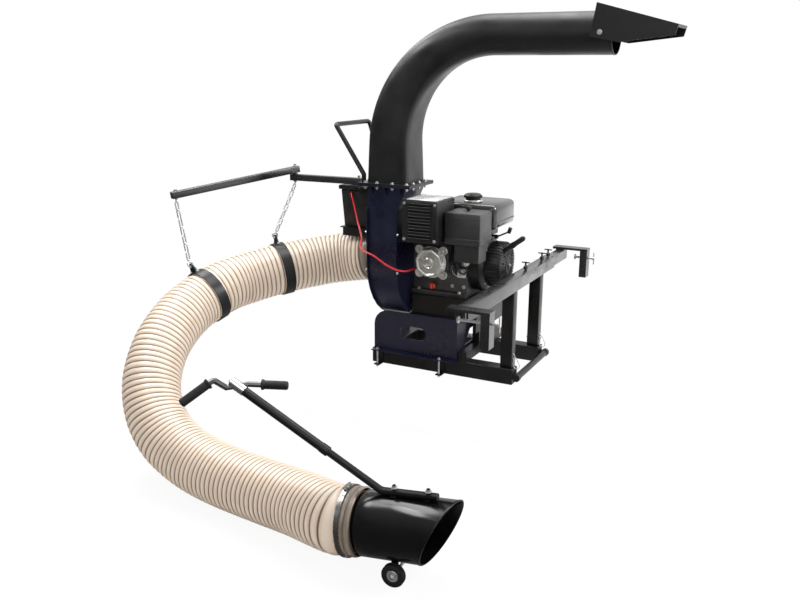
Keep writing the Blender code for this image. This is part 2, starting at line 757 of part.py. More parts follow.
def volute_housing():
    """Band between two flanged side plates, open at the intake, the shaft and the outlet."""
    def slab(name, offset, left, right, top):
        there = Matrix.Translation((left, 0, 0)) @ SIDE_PLANE
        return as_mesh(plate(name, scroll_outline(offset, top), right - left, NAVY, there))

    housing = slab(
        "volute_housing", 0, HOUSING_LEFT + HOUSING_WALL / 3, HOUSING_RIGHT - HOUSING_WALL / 3, OUTLET_TOP
    )
    left_rim = slab(
        "left_rim", RIM_OVERHANG, HOUSING_LEFT, HOUSING_LEFT + HOUSING_WALL, OUTLET_TOP - 0.001
    )
    right_rim = slab(
        "right_rim", RIM_OVERHANG, HOUSING_RIGHT - HOUSING_WALL, HOUSING_RIGHT, OUTLET_TOP - 0.001
    )
    join(housing, left_rim, right_rim)
    chamber = slab(
        "chamber", -HOUSING_WALL, HOUSING_LEFT + HOUSING_WALL, HOUSING_RIGHT - HOUSING_WALL,
        OUTLET_TOP + 0.05,
    )
    intake = rod(
        "intake_hole", (HOUSING_LEFT - 0.02, SHAFT_Y, SHAFT_Z),
        (HOUSING_LEFT + 0.02, SHAFT_Y, SHAFT_Z), INTAKE_HOLE, NAVY, 24,
    )
    shaft = rod(
        "shaft_hole", (HOUSING_RIGHT - 0.02, SHAFT_Y, SHAFT_Z),
        (HOUSING_RIGHT + 0.02, SHAFT_Y, SHAFT_Z), SHAFT_HOLE, NAVY, 16,
    )
    cut(housing, chamber, intake, shaft)


def rectangle(left, right, front, back, height):
    return [(left, front, height), (right, front, height), (right, back, height), (left, back, height)]


def outlet_neck():
    """Short duct that widens to the flange under the chute."""
    low, wall, mouth = OUTLET_TOP + GAP, HOUSING_WALL, FLANGE_TOP
    outer = [
        rectangle(HOUSING_LEFT, HOUSING_RIGHT, OUTLET_FRONT, OUTLET_BACK, low),
        rectangle(HOUSING_LEFT, CHUTE_RIGHT, OUTLET_FRONT, OUTLET_BACK, NECK_TOP + 0.001),
    ]
    neck = skin("outlet_neck", outer, NAVY)
    flange = box(
        "neck_flange",
        (CHUTE_LEFT - FLANGE_OVERHANG, OUTLET_FRONT - FLANGE_OVERHANG, NECK_TOP),
        (CHUTE_RIGHT + FLANGE_OVERHANG, OUTLET_BACK + FLANGE_OVERHANG, mouth),
        NAVY,
    )
    join(neck, flange)
    inner = [
        rectangle(
            HOUSING_LEFT + wall, HOUSING_RIGHT - wall, OUTLET_FRONT + wall, OUTLET_BACK - wall,
            low - 0.001,
        ),
        rectangle(
            HOUSING_LEFT + wall, CHUTE_RIGHT - wall, OUTLET_FRONT + wall, OUTLET_BACK - wall,
            mouth + 0.001,
        ),
    ]
    cut(neck, skin("neck_bore", inner, NAVY))


def collar_direction():
    slope = math.radians(COLLAR_SLOPE)
    return Vector((-math.cos(slope), 0, -math.sin(slope)))


def intake_ring():
    """Plate over the intake hole with the collar that the hose slides on."""
    face = Vector((HOUSING_LEFT - GAP, SHAFT_Y, SHAFT_Z))
    ring = rod(
        "intake_ring", face, face - X * INTAKE_PLATE, INTAKE_PLATE_RADIUS, NAVY, 28
    )
    along = collar_direction()
    start = face - X * INTAKE_PLATE * 0.5
    collar = rod("collar", start, face + along * COLLAR_LENGTH, COLLAR_RADIUS, NAVY, 28)
    lip = box(
        "collar_trim", (face.x, face.y - 0.2, face.z - 0.2), (face.x + 0.1, face.y + 0.2, face.z + 0.2),
        NAVY,
    )
    bore = rod(
        "collar_bore", face - along * 0.05, face + along * (COLLAR_LENGTH + 0.02),
        COLLAR_RADIUS - COLLAR_WALL, NAVY, 28,
    )
    join(ring, collar)
    cut(ring, lip, bore)


def impeller():
    """Back disc, hub and straight paddles that run close to the scroll's side plates."""
    back = HOUSING_RIGHT - HOUSING_WALL - 0.010
    disc = rod(
        "impeller", (back, SHAFT_Y, SHAFT_Z), (back - 0.006, SHAFT_Y, SHAFT_Z), IMPELLER_RADIUS,
        STEEL, 32,
    )
    hub = rod(
        "hub", (back - 0.003, SHAFT_Y, SHAFT_Z), (back - 0.060, SHAFT_Y, SHAFT_Z), 0.034, STEEL, 16
    )
    join(disc, hub)
    centre = Vector((0, SHAFT_Y, SHAFT_Z))
    for number in range(IMPELLER_BLADES):
        turn = Matrix.Rotation(math.tau * number / IMPELLER_BLADES, 4, "X")
        blade = box(
            f"blade_{number}", (back - IMPELLER_DEPTH, 0.022, -0.003),
            (back - 0.003, IMPELLER_RADIUS - 0.003, 0.003), STEEL, 0, Matrix.Translation(centre) @ turn,
        )
        join(disc, blade)
    bore = rod(
        "impeller_bore", (back + 0.02, SHAFT_Y, SHAFT_Z), (back - 0.055, SHAFT_Y, SHAFT_Z),
        SHAFT_RADIUS + GAP, STEEL, 16,
    )
    cut(disc, bore)


def crankshaft():
    back = HOUSING_RIGHT - HOUSING_WALL - 0.010
    start = (back - 0.054, SHAFT_Y, SHAFT_Z)
    rod("crankshaft", start, (CASE_RIGHT - 0.030, SHAFT_Y, SHAFT_Z), SHAFT_RADIUS, STEEL, 16)


def chute():
    """Rectangular foot, quarter bend and round mouth, drawn from one sheet on a bolted flange."""
    bend = Vector((CHUTE_LEFT + CHUTE_BASE_WIDTH / 2 + CHUTE_BEND_RADIUS, CHUTE_Y, CHUTE_BEND_START))
    straight = CHUTE_END_X - bend.x
    rise = CHUTE_BEND_START - CHUTE_Z
    quarter = CHUTE_BEND_RADIUS * math.pi / 2
    total = rise + quarter + straight

    def section(travel, inset):
        if travel < rise:
            centre, out = Vector((bend.x - CHUTE_BEND_RADIUS, CHUTE_Y, CHUTE_Z + travel)), -X
        elif travel < rise + quarter:
            angle = (travel - rise) / CHUTE_BEND_RADIUS
            out = Vector((-math.cos(angle), 0, math.sin(angle)))
            centre = bend + out * CHUTE_BEND_RADIUS
        else:
            out = Z
            centre = bend + Z * CHUTE_BEND_RADIUS + X * (travel - rise - quarter)
        share = min(1.0, travel / (rise + quarter))
        half_out = CHUTE_BASE_WIDTH / 2 * (1 - share) + CHUTE_END_SIZE / 2 * share - inset
        half_side = OUTLET_DEPTH / 2 * (1 - share) + CHUTE_END_SIZE / 2 * share - inset
        power = 2 / (10 * (1 - share) ** 2 + 2)
        ring = []
        for step in range(CHUTE_SIDES):
            angle = math.tau * (step + 0.5) / CHUTE_SIDES
            across = math.copysign(abs(math.cos(angle)) ** power, math.cos(angle))
            beside = math.copysign(abs(math.sin(angle)) ** power, math.sin(angle))
            ring.append(centre + out * half_out * across + Y * half_side * beside)
        return ring

    travels = [total * step / CHUTE_RINGS for step in range(CHUTE_RINGS + 1)]
    rings = [section(travel, 0) for travel in travels]
    rings += [section(travel, CHUTE_WALL) for travel in reversed(travels)]
    body = skin("chute", rings, BLACK, closed=True)
    flange = box(
        "chute_flange",
        (CHUTE_LEFT - FLANGE_OVERHANG, OUTLET_FRONT - FLANGE_OVERHANG, CHUTE_Z - 0.0),
        (CHUTE_RIGHT + FLANGE_OVERHANG, OUTLET_BACK + FLANGE_OVERHANG, CHUTE_Z + FLANGE_THICKNESS * 0.7),
        BLACK,
    )
    mouth = box(
        "chute_foot_hole",
        (CHUTE_LEFT + 0.012, OUTLET_FRONT + 0.012, CHUTE_Z - 0.05),
        (CHUTE_RIGHT - 0.012, OUTLET_BACK - 0.012, CHUTE_Z + 0.05), BLACK,
    )
    cut(flange, mouth)
    bolt = rod(
        "hood_bolt",
        (HOOD_PIVOT_X, CHUTE_Y - CHUTE_END_SIZE / 2 - 0.014, HOOD_PIVOT_Z),
        (HOOD_PIVOT_X, CHUTE_Y - CHUTE_END_SIZE / 2 + 0.008, HOOD_PIVOT_Z), PIVOT_BOLT_RADIUS, STEEL, 12,
    )
    other_bolt = rod(
        "hood_other_bolt",
        (HOOD_PIVOT_X, CHUTE_Y + CHUTE_END_SIZE / 2 - 0.008, HOOD_PIVOT_Z),
        (HOOD_PIVOT_X, CHUTE_Y + CHUTE_END_SIZE / 2 + 0.014, HOOD_PIVOT_Z), PIVOT_BOLT_RADIUS, STEEL, 12,
    )
    join(body, flange, bolt, other_bolt)


def deflector_hood():
    """Folded hood over the mouth: two wedge cheeks and a sloping top, turning on the pivot bolts."""
    rear_x, tip_x = HOOD_PIVOT_X - HOOD_REAR, HOOD_PIVOT_X + HOOD_LENGTH
    rear_top, tip_top = HOOD_PIVOT_Z + HOOD_REAR_RISE, HOOD_PIVOT_Z + HOOD_TIP_RISE
    outline = [
        (rear_x - 0.018, HOOD_PIVOT_Z - 0.014), (HOOD_PIVOT_X + 0.065, HOOD_PIVOT_Z - 0.034),
        (tip_x - 0.009, HOOD_PIVOT_Z - 0.013), (tip_x, tip_top), (rear_x, rear_top),
    ]
    half = CHUTE_END_SIZE / 2 + 0.005 + HOOD_SHEET
    there = Matrix.Translation((0, CHUTE_Y + half, 0)) @ FRONT_PLANE
    hood = as_mesh(plate("deflector_hood", outline, 2 * half, BLACK, there))
    inner = [(x, z - (HOOD_SHEET if z > HOOD_PIVOT_Z + 0.02 else 0.05)) for x, z in outline]
    inner[0] = (inner[0][0] - 0.05, inner[0][1])
    inner[4] = (inner[4][0] - 0.05, inner[4][1] + 0.01)
    inner[2] = (inner[2][0] + 0.0, inner[2][1])
    inner[3] = (inner[3][0] - 0.002, inner[3][1])
    there = Matrix.Translation((0, CHUTE_Y + half - HOOD_SHEET, 0)) @ FRONT_PLANE
    hollow = as_mesh(plate("hood_hollow", inner, 2 * (half - HOOD_SHEET), BLACK, there))
    hole = rod(
        "hood_pivot_hole", (HOOD_PIVOT_X, CHUTE_Y - half - 0.02, HOOD_PIVOT_Z),
        (HOOD_PIVOT_X, CHUTE_Y + half + 0.02, HOOD_PIVOT_Z), PIVOT_BOLT_RADIUS + 2 * GAP, BLACK, 12,
    )
    cut(hood, hollow, hole)


def lift_handle():
    """Bent tube whose two feet stand on the chute's flange."""
    foot = CHUTE_Z + FLANGE_THICKNESS * 0.7 + GAP
    path = filleted(
        [
            (LIFT_FOOT_X, LIFT_FRONT_Y, foot), (LIFT_FOOT_X, LIFT_FRONT_Y, foot + 0.03),
            (LIFT_TOP_X, LIFT_FRONT_Y, LIFT_TOP_Z), (LIFT_TOP_X, LIFT_TOP_BACK_Y, LIFT_TOP_Z),
            (LIFT_FOOT_X, LIFT_BACK_Y, foot + 0.03), (LIFT_FOOT_X, LIFT_BACK_Y, foot),
        ],
        0.014,
    )
    tube("lift_handle", path, LIFT_TUBE, BLACK, 2)


def boom_bracket():
    """Bracket bolted to the neck, with the pin that the inner arm turns on."""
    half = BOOM_BRACKET_WIDTH / 2
    top = BOOM_BASE.z - GAP
    bracket = box(
        "boom_bracket",
        (BOOM_BASE.x - half, OUTLET_BACK - 0.045, top - BOOM_BRACKET_THICKNESS),
        (HOUSING_LEFT - GAP, BOOM_BASE.y + half, top), BLACK,
    )
    cheek = box(
        "bracket_cheek",
        (HOUSING_LEFT - GAP - 0.006, OUTLET_BACK - 0.060, OUTLET_TOP + 0.004),
        (HOUSING_LEFT - GAP, BOOM_BASE.y + half - 0.001, top - 0.001), BLACK,
    )
    pin = rod(
        "boom_base_pin", BOOM_BASE - Z * BOOM_BRACKET_THICKNESS / 2,
        BOOM_BASE + Z * (BOOM_TUBE + 0.010), BOOM_PIN_RADIUS, STEEL, 12,
    )
    join(bracket, cheek, pin)


def boom_inner():
    """First square arm, flat at its root, with the elbow pin at its outer end."""
    root, end = BOOM_BASE.copy(), Vector((BOOM_ELBOW.x, BOOM_ELBOW.y, BOOM_BASE.z))
    along = (end - root).normalized()
    half = BOOM_TUBE / 2
    there = aim(root + Z * half, along, Z)
    length = (end - root).length
    arm = box(
        "boom_inner", (-half, -half, -0.018), (half, half, length + 0.020), BLACK, 0.002, there
    )
    hole = rod(
        "boom_root_hole", root - Z * 0.02, root + Z * 0.06, BOOM_PIN_RADIUS + GAP, BLACK, 12
    )
    cut(arm, hole)
    washer = rod(
        "elbow_washer", end + Z * (BOOM_TUBE - 0.002), end + Z * (BOOM_TUBE + BOOM_WASHER),
        0.012, STEEL, 12,
    )
    pin = rod(
        "elbow_pin", end + Z * 0.01, end + Z * (2 * BOOM_TUBE + BOOM_WASHER + 0.012),
        BOOM_PIN_RADIUS, STEEL, 12,
    )
    eye = rod("inner_eye", end - Z * 0.012, end + Z * 0.004, 0.002, STEEL, 10, 0.005)
    join(arm, washer, pin, eye)


def boom_outer():
    """Second arm, stacked on the first and drooping towards its tip, with the eye bolt of the chain."""
    half = BOOM_TUBE / 2
    level = BOOM_BASE.z + BOOM_TUBE + BOOM_WASHER + GAP + half + 0.002
    root = Vector((BOOM_ELBOW.x, BOOM_ELBOW.y, level))
    tip = Vector((BOOM_TIP.x, BOOM_TIP.y, level - BOOM_DROOP))
    there = aim(root, tip - root, Z)
    length = (tip - root).length
    arm = box("boom_outer", (-half, -half, -0.018), (half, half, length + 0.018), BLACK, 0.002, there)
    hole = rod("elbow_hole", root - Z * 0.03, root + Z * 0.03, BOOM_PIN_RADIUS + 0.0016, BLACK, 12)
    cut(arm, hole)
    eye = rod("outer_eye", tip - Z * (half + 0.012), tip + Z * (half + 0.008), 0.002, STEEL, 10, 0.006)
    join(arm, eye)
    return tip - Z * (half + 0.012)


def hose_points():
    """The hose's route: straight off the collar, through the hand-set points, straight onto the nozzle."""
    face = Vector((HOUSING_LEFT - GAP - INTAKE_PLATE, SHAFT_Y, SHAFT_Z))
    along = collar_direction()
    start = [face + along * reach for reach in (HOSE_START, HOSE_START + 0.055, HOSE_START + 0.11)]
    nozzle = nozzle_direction()
    end = [NOZZLE_START - nozzle * reach for reach in (0.10, 0.05, 0.0)]
    return start + [Vector(point) for point in HOSE_ROUTE] + end


def intake_hose():
    """Ribbed hose: two points a rib, of unlike radius, and a plain bore."""
    points = smooth_route(hose_points(), 2 * HOSE_RIBS)
    ribbed = tube("intake_hose", points, 1.0, HOSE_CREAM, 3)
    line = ribbed.data.splines[0]
    for number, point in enumerate(line.points):
        point.radius = HOSE_CREST if number % 2 else HOSE_VALLEY
    first, last = points[0], points[-1]
    hose = as_mesh(ribbed)
    bore_points = smooth_route(hose_points(), HOSE_BORE_POINTS)
    bore_points[0] = first + (first - bore_points[1]).normalized() * 0.01
    bore_points[-1] = last + (last - bore_points[-2]).normalized() * 0.01
    bore = as_mesh(tube("hose_bore", bore_points, HOSE_BORE, HOSE_CREAM, 3))
    cut(hose, bore)
    least_gap(points)


def least_gap(points):
    """Prints how near the hose's turns come to each other, between points over a diameter apart."""
    far = int(4 * HOSE_CREST / (points[1] - points[0]).length)
    gaps = [
        (second - first).length - 2 * HOSE_CREST
        for index, first in enumerate(points) for second in points[index + far:]
    ]
    print(f"the hose's least gap to itself is {min(gaps) * 1000:.1f} mm")


def hose_band(name, centre, along, inner, thickness, width, finish):
    profile = [
        (inner + thickness, width / 2), (inner + thickness, -width / 2),
        (inner, -width / 2), (inner, width / 2),
    ]
    return turned(name, profile, centre, along, finish, 32)


def on_route(share):
    """Centre and direction of the hose at a share of its length."""
    points = smooth_route(hose_points(), 401)
    index = round(share * 400)
    return points[index], (points[min(index + 2, 400)] - points[max(index - 2, 0)]).normalized()


def nearest_share(target):
    points = smooth_route(hose_points(), 401)
    distances = [(point - Vector(target)).length for point in points]
    return distances.index(min(distances)) / 400


def hose_clamps():
    last = 2 * HOSE_RIBS - 1
    for name, crest, room in (
        ("hose_clamp_intake", 3, 3 * GAP), ("hose_clamp_nozzle", last - 4, 6 * GAP)
    ):
        inner = HOSE_CREST + room
        centre, along = on_route(crest / last)
        clamp = hose_band(name, centre, along, inner, CLAMP_BAND, CLAMP_WIDTH, STEEL)
        over = (Z - along * Z.dot(along)).normalized()
        across = along.cross(over)
        screw = centre + over * (inner + CLAMP_BAND + 0.004)
        join(clamp, rod(name + "_screw", screw - across * 0.018, screw + across * 0.018, 0.0055, STEEL, 8))


def hose_saddle(name, middle, lean, above):
    """Band round the hose with a lug and a shackle, whose point nearest to the boom's eye is returned."""
    centre, along = on_route(nearest_share(middle))
    inner = HOSE_CREST + 3 * GAP
    saddle = hose_band(name, centre, along, inner, SADDLE_BAND, SADDLE_WIDTH, BLACK)
    up = Matrix.Rotation(math.radians(lean), 3, along) @ (Z - along * Z.dot(along)).normalized()
    seat = inner + SADDLE_BAND
    outline = [(-0.021, -0.002), (0.021, -0.002)] + arc((0, SADDLE_LUG - 0.012), 0.012, 0, 180, 6)
    across = along.cross(up)
    turn = Matrix((across, up, along)).transposed().to_4x4()
    foot = centre + up * seat - along * 0.003
    lug = as_mesh(plate(name + "_lug", outline, 0.006, BLACK, Matrix.Translation(foot) @ turn))
    eye = centre + up * (seat + SADDLE_LUG + SHACKLE_RADIUS - 0.006)
    ring = [
        eye + (up * math.sin(a) + along * math.cos(a)) * SHACKLE_RADIUS
        for a in (math.tau * step / 12 for step in range(12))
    ]
    shackle = ring_tube(name + "_shackle", ring, SHACKLE_WIRE, STEEL)
    join(saddle, lug, shackle)
    toward = above - eye
    return eye + (toward - across * toward.dot(across)).normalized() * SHACKLE_RADIUS


def ring_tube(name, points, radius, finish):
    ring = tube(name, points, radius, finish, 0)
    ring.data.use_fill_caps = False
    ring.data.splines[0].use_cyclic_u = True
    return as_mesh(ring)


def chain(name, top, bottom):
    """Links that seat in each other's crowns, every second one turned a quarter."""
    seat = 2 * CHAIN_WIRE + 0.0006
    total, down = (bottom - top).length, (bottom - top).normalized()
    beside = (X - down * X.dot(down)).normalized()
    sides = (down.cross(beside), beside)
    count = round((total - seat) / (CHAIN_LINK_LENGTH - seat))
    length = (total + (count - 1) * seat) / count
    first = None
    for number in range(count):
        centre = top + down * (length / 2 + (length - seat) * number)
        half_width = CHAIN_LINK_WIDTH / 2 - CHAIN_WIRE
        run = length / 2 - CHAIN_WIRE - half_width
        outline = arc((0, run), half_width, 0, 180, 4) + arc((0, -run), half_width, 180, 360, 4)
        points = [centre + sides[number % 2] * across + down * along for across, along in outline]
        link = ring_tube(name if first is None else f"{name}_{number}", points, CHAIN_WIRE, STEEL)
        if first is None:
            first = link
        else:
            join(first, link)
    return first


def nozzle_direction():
    yaw, pitch = math.radians(NOZZLE_YAW), math.radians(NOZZLE_PITCH)
    return Vector((math.cos(yaw) * math.cos(pitch), math.sin(yaw) * math.cos(pitch), math.sin(pitch)))


def nozzle_frame():
    """Z along the nozzle, X upwards."""
    return aim(NOZZLE_START, nozzle_direction(), Z)


def nozzle():
    """Rolled tube with a slanted mouth, longer on top, and two lugs that hold the axle."""
    frame = nozzle_frame()
    end, wall = NOZZLE_TOP_LENGTH + 0.02, NOZZLE_WALL
    profile = [
        (NECK_RADIUS - wall, end), (NOZZLE_RADIUS, end), (NOZZLE_RADIUS, GAP + NECK_FLARE),
        (NECK_RADIUS, GAP), (NECK_RADIUS, -NOZZLE_TUCK), (NECK_RADIUS - wall, -NOZZLE_TUCK),
    ]
    body = turned("nozzle", profile, NOZZLE_START, nozzle_direction(), GLOSS_BLACK, 32)
    throat = turned(
        "nozzle_throat",
        [
            (0, end + 0.01), (NOZZLE_RADIUS - wall, end + 0.01),
            (NOZZLE_RADIUS - wall, GAP + NECK_FLARE + wall), (NECK_RADIUS - wall * 1.2, GAP + wall * 0.5),
            (0, GAP + wall * 0.5),
        ],
        NOZZLE_START, nozzle_direction(), GLOSS_BLACK, 32,
    )
    slant = math.atan2(NOZZLE_TOP_LENGTH - NOZZLE_BOTTOM_LENGTH, 2 * NOZZLE_RADIUS)
    middle = (NOZZLE_TOP_LENGTH + NOZZLE_BOTTOM_LENGTH) / 2
    trim = box(
        "nozzle_trim", (-0.4, -0.2, 0), (0.4, 0.2, 0.3), GLOSS_BLACK, 0,
        frame @ Matrix.Translation((0, 0, middle))
        @ Matrix.Rotation(math.radians(MOUTH_TURN), 4, "Z") @ Matrix.Rotation(-slant, 4, "Y"),
    )
    axle_down, half = axle_drop(), WHEEL_TRACK / 2 - WHEEL_WIDTH / 2 - 0.008
    for name, across in (("lug_far", half), ("lug_near", -half - 0.004)):
        lug = box(
            name, (axle_down - 0.009, across, WHEEL_ALONG - 0.012),
            (-NOZZLE_RADIUS * 0.82, across + 0.004, WHEEL_ALONG + 0.012), GLOSS_BLACK, 0, frame,
        )
        join(body, lug)
    reach = WHEEL_TRACK / 2 + WHEEL_WIDTH / 2 + 0.008
    profile = [
        (0, reach), (0.0085, reach), (0.0085, reach - 0.0045), (AXLE_RADIUS, reach - 0.0045),
        (AXLE_RADIUS, 0.0045 - reach), (0.0085, 0.0045 - reach), (0.0085, -reach), (0, -reach),
    ]
    centre = frame @ Vector((axle_down, 0, WHEEL_ALONG))
    axle = turned("axle", profile, centre, frame.to_3x3().col[1], STEEL, 10)
    cut(body, throat, trim)
    join(body, axle)


def axle_drop():
    """Height of the axle in the nozzle's frame, so that the wheels stand on the ground."""
    frame = nozzle_frame()
    at_axis = frame @ Vector((0, 0, WHEEL_ALONG))
    return (GROUND + WHEEL_RADIUS - at_axis.z) / frame.to_3x3().col[0].z


def wheels():
    """A wheel on each end of the nozzle's axle."""
    frame, drop, half = nozzle_frame(), axle_drop(), WHEEL_TRACK / 2
    across = frame.to_3x3().col[1]
    centre = frame @ Vector((drop, 0, WHEEL_ALONG))
    for name, side in (("wheel_near", -1), ("wheel_far", 1)):
        bore, rim, width = AXLE_RADIUS + GAP, WHEEL_RADIUS, WHEEL_WIDTH / 2
        section = [
            (rim - 0.004, width), (rim, width - 0.004), (rim, 0.004 - width), (rim - 0.004, -width),
            (rim * 0.62, -width), (rim * 0.55, 0.003 - width), (bore + 0.006, 0.003 - width),
            (bore + 0.005, -width - 0.002), (bore, -width - 0.002), (bore, width + 0.002),
            (bore + 0.005, width + 0.002), (bore + 0.006, width - 0.003),
            (rim * 0.55, width - 0.003), (rim * 0.62, width),
        ]
        turned(name, section, centre + across * half * side, across, RUBBER, 18)


def pole():
    """Lower pole clamped along the nozzle's top, and the sleeve that telescopes over it."""
    frame = nozzle_frame()
    height = NOZZLE_RADIUS + POLE_RADIUS + GAP
    mouth_end = frame @ Vector((height, 0, POLE_CLAMP_END))
    bend = frame @ Vector((height, 0, POLE_CLAMP_START))
    up = (POLE_TOP - bend).normalized()
    inside = bend + up * (POLE_SLEEVE_START + POLE_OVERLAP)
    lower = as_mesh(tube(
        "pole_lower", filleted([mouth_end, bend, inside], 0.03, 4), POLE_RADIUS, BLACK, 3
    ))
    for number, along in enumerate((POLE_CLAMP_START + 0.045, POLE_CLAMP_END - 0.030)):
        strap = box(
            f"pole_strap_{number}", (height - POLE_RADIUS, -0.017, along - 0.010),
            (height - POLE_RADIUS + 0.005, 0.017, along + 0.010), BLACK, 0, frame,
        )
        bolt = rod(
            f"pole_bolt_{number}", frame @ Vector((height, 0, along)),
            frame @ Vector((height + POLE_RADIUS + 0.012, 0, along)), 0.0055, STEEL, 8,
        )
        join(lower, strap, bolt)
    start = bend + up * POLE_SLEEVE_START
    sleeve = rod("pole_upper", start, POLE_TOP, POLE_SLEEVE_RADIUS, BLACK, 16)
    collar = rod("sleeve_collar", start, start + up * 0.028, POLE_SLEEVE_RADIUS + 0.0015, BLACK, 16)
    join(sleeve, collar)
    bore = rod(
        "sleeve_bore", start - up * 0.02, start + up * (POLE_OVERLAP + 0.16), POLE_SLEEVE_BORE, BLACK, 16
    )
    cut(sleeve, bore)
    return up


def handlebar(up):
    """Cranked bar held in the chrome fitting on the pole's end, with a grip on each side."""
    middle = POLE_TOP + up * (GAP + 0.030)
    fitting = rod("bar_fitting", POLE_TOP + up * GAP, POLE_TOP + up * 0.054, 0.0175, CHROME, 16)
    along = (BAR_RIGHT - BAR_LEFT).normalized()
    hole = rod(
        "fitting_hole", middle - along * 0.05, middle + along * 0.05, BAR_RADIUS + 2 * GAP, CHROME, 16
    )
    cut(fitting, hole)
    across = (along - up * along.dot(up)).normalized()
    inner_left, inner_right = middle - along * 0.035, middle + along * 0.035
    path = filleted([BAR_LEFT, BAR_LEFT.lerp(inner_left, 0.72) + Z * BAR_RISE, inner_left], 0.012, 3)
    path += filleted([inner_right, BAR_RIGHT.lerp(inner_right, 0.72), BAR_RIGHT], 0.012, 3)
    tube("handlebar", path, BAR_RADIUS, BLACK, 2)
    for name, end, inward in (("grip_left", path[0], path[1]), ("grip_right", path[-1], path[-2])):
        toward = (inward - end).normalized()
        length = min(GRIP_LENGTH, (inward - end).length - 0.004)
        profile = [
            (0, 0), (GRIP_RADIUS * 0.8, 0), (GRIP_RADIUS, 0.006), (GRIP_RADIUS * 0.92, length - 0.008),
            (GRIP_RADIUS * 1.15, length - 0.004), (GRIP_RADIUS * 1.15, length),
            (BAR_RADIUS + GAP, length), (BAR_RADIUS + GAP, 0.004 - GAP), (0, 0.004 - GAP),
        ]
        turned(name, profile[::-1], end - toward * 0.004, toward, RUBBER, 14)
    return across


def battery():
    """Shelf bolted to the scroll, tapered box and overhanging lid, and the cable to the engine."""
    low, size = BATTERY_LOW, BATTERY_SIZE
    high = low + size
    taper = BATTERY_TAPER
    shelf_right = HOUSING_LEFT - INTAKE_PLATE - 2 * GAP
    shelf = box(
        "battery_shelf", (low.x - 0.004, low.y - 0.004, low.z - SHELF_SHEET - GAP),
        (shelf_right, high.y + 0.004, low.z - GAP), BLACK,
    )
    web = box(
        "shelf_web", (shelf_right - 0.004, low.y - 0.003, low.z - 0.002),
        (shelf_right, high.y + 0.003, low.z + SHELF_WEB), BLACK,
    )
    apron = box(
        "shelf_apron", (low.x + 0.010, low.y - 0.004, low.z - SHELF_APRON),
        (shelf_right, low.y - 0.001, low.z - GAP - 0.001), BLACK,
    )
    join(shelf, web, apron)
    case = skin(
        "battery_box",
        [
            rectangle(low.x + taper, high.x - taper, low.y + taper, high.y - taper, low.z),
            rectangle(low.x, high.x, low.y, high.y, high.z),
        ],
        BLACK,
    )
    edge = case.modifiers.new("Edges", "BEVEL")
    edge.width = 0.006
    edge.segments = 2
    lid_low = Vector((low.x - LID_OVERHANG, low.y - LID_OVERHANG, high.z + GAP))
    lid_high = Vector((high.x + LID_OVERHANG, high.y + LID_OVERHANG, high.z + GAP + LID_HEIGHT))
    box("battery_lid", lid_low, lid_high, BLACK, 0.004)


def battery_cable():
    tube("battery_cable", smooth_route(CABLE_ROUTE, 30), CABLE_RADIUS, RED, 1)


def crankcase():
    """Cast block with the shaft's bore, chamfered towards the top and on broad feet."""
    left = HOUSING_RIGHT + GAP
    outline = [
        (CASE_FRONT - 0.015, DECK_TOP + GAP), (CASE_BACK + 0.010, DECK_TOP + GAP),
        (CASE_BACK + 0.010, DECK_TOP + 0.018), (CASE_BACK, DECK_TOP + 0.022),
        (CASE_BACK, CASE_TOP - 0.060), (CASE_BACK - 0.045, CASE_TOP),
        (CASE_FRONT + 0.025, CASE_TOP), (CASE_FRONT, CASE_TOP - 0.025),
        (CASE_FRONT, DECK_TOP + 0.022), (CASE_FRONT - 0.015, DECK_TOP + 0.018),
    ]
    there = Matrix.Translation((left, 0, 0)) @ SIDE_PLANE
    case = as_mesh(plate("crankcase", outline, CASE_RIGHT - left, ALUMINIUM, there))
    bore = rod(
        "case_bore", (left - 0.01, SHAFT_Y, SHAFT_Z), (CASE_RIGHT - 0.029, SHAFT_Y, SHAFT_Z),
        SHAFT_RADIUS + GAP, ALUMINIUM, 16,
    )
    cut(case, bore)


def cylinder():
    """Finned barrel that points forwards from the crankcase to the valve cover."""
    back = CASE_FRONT - GAP
    core = box(
        "cylinder", (CYLINDER_LEFT + 0.012, CYLINDER_FRONT, CYLINDER_LOW + 0.012),
        (CYLINDER_RIGHT - 0.012, back, CYLINDER_HIGH - 0.012), ALUMINIUM,
    )
    span = back - CYLINDER_FRONT
    for number in range(FIN_COUNT):
        place_y = CYLINDER_FRONT + span * (number + 0.5) / FIN_COUNT
        fin = box(
            f"fin_{number}", (CYLINDER_LEFT, place_y - FIN_THICKNESS / 2, CYLINDER_LOW),
            (CYLINDER_RIGHT, place_y + FIN_THICKNESS / 2, CYLINDER_HIGH), ALUMINIUM,
        )
        join(core, fin)


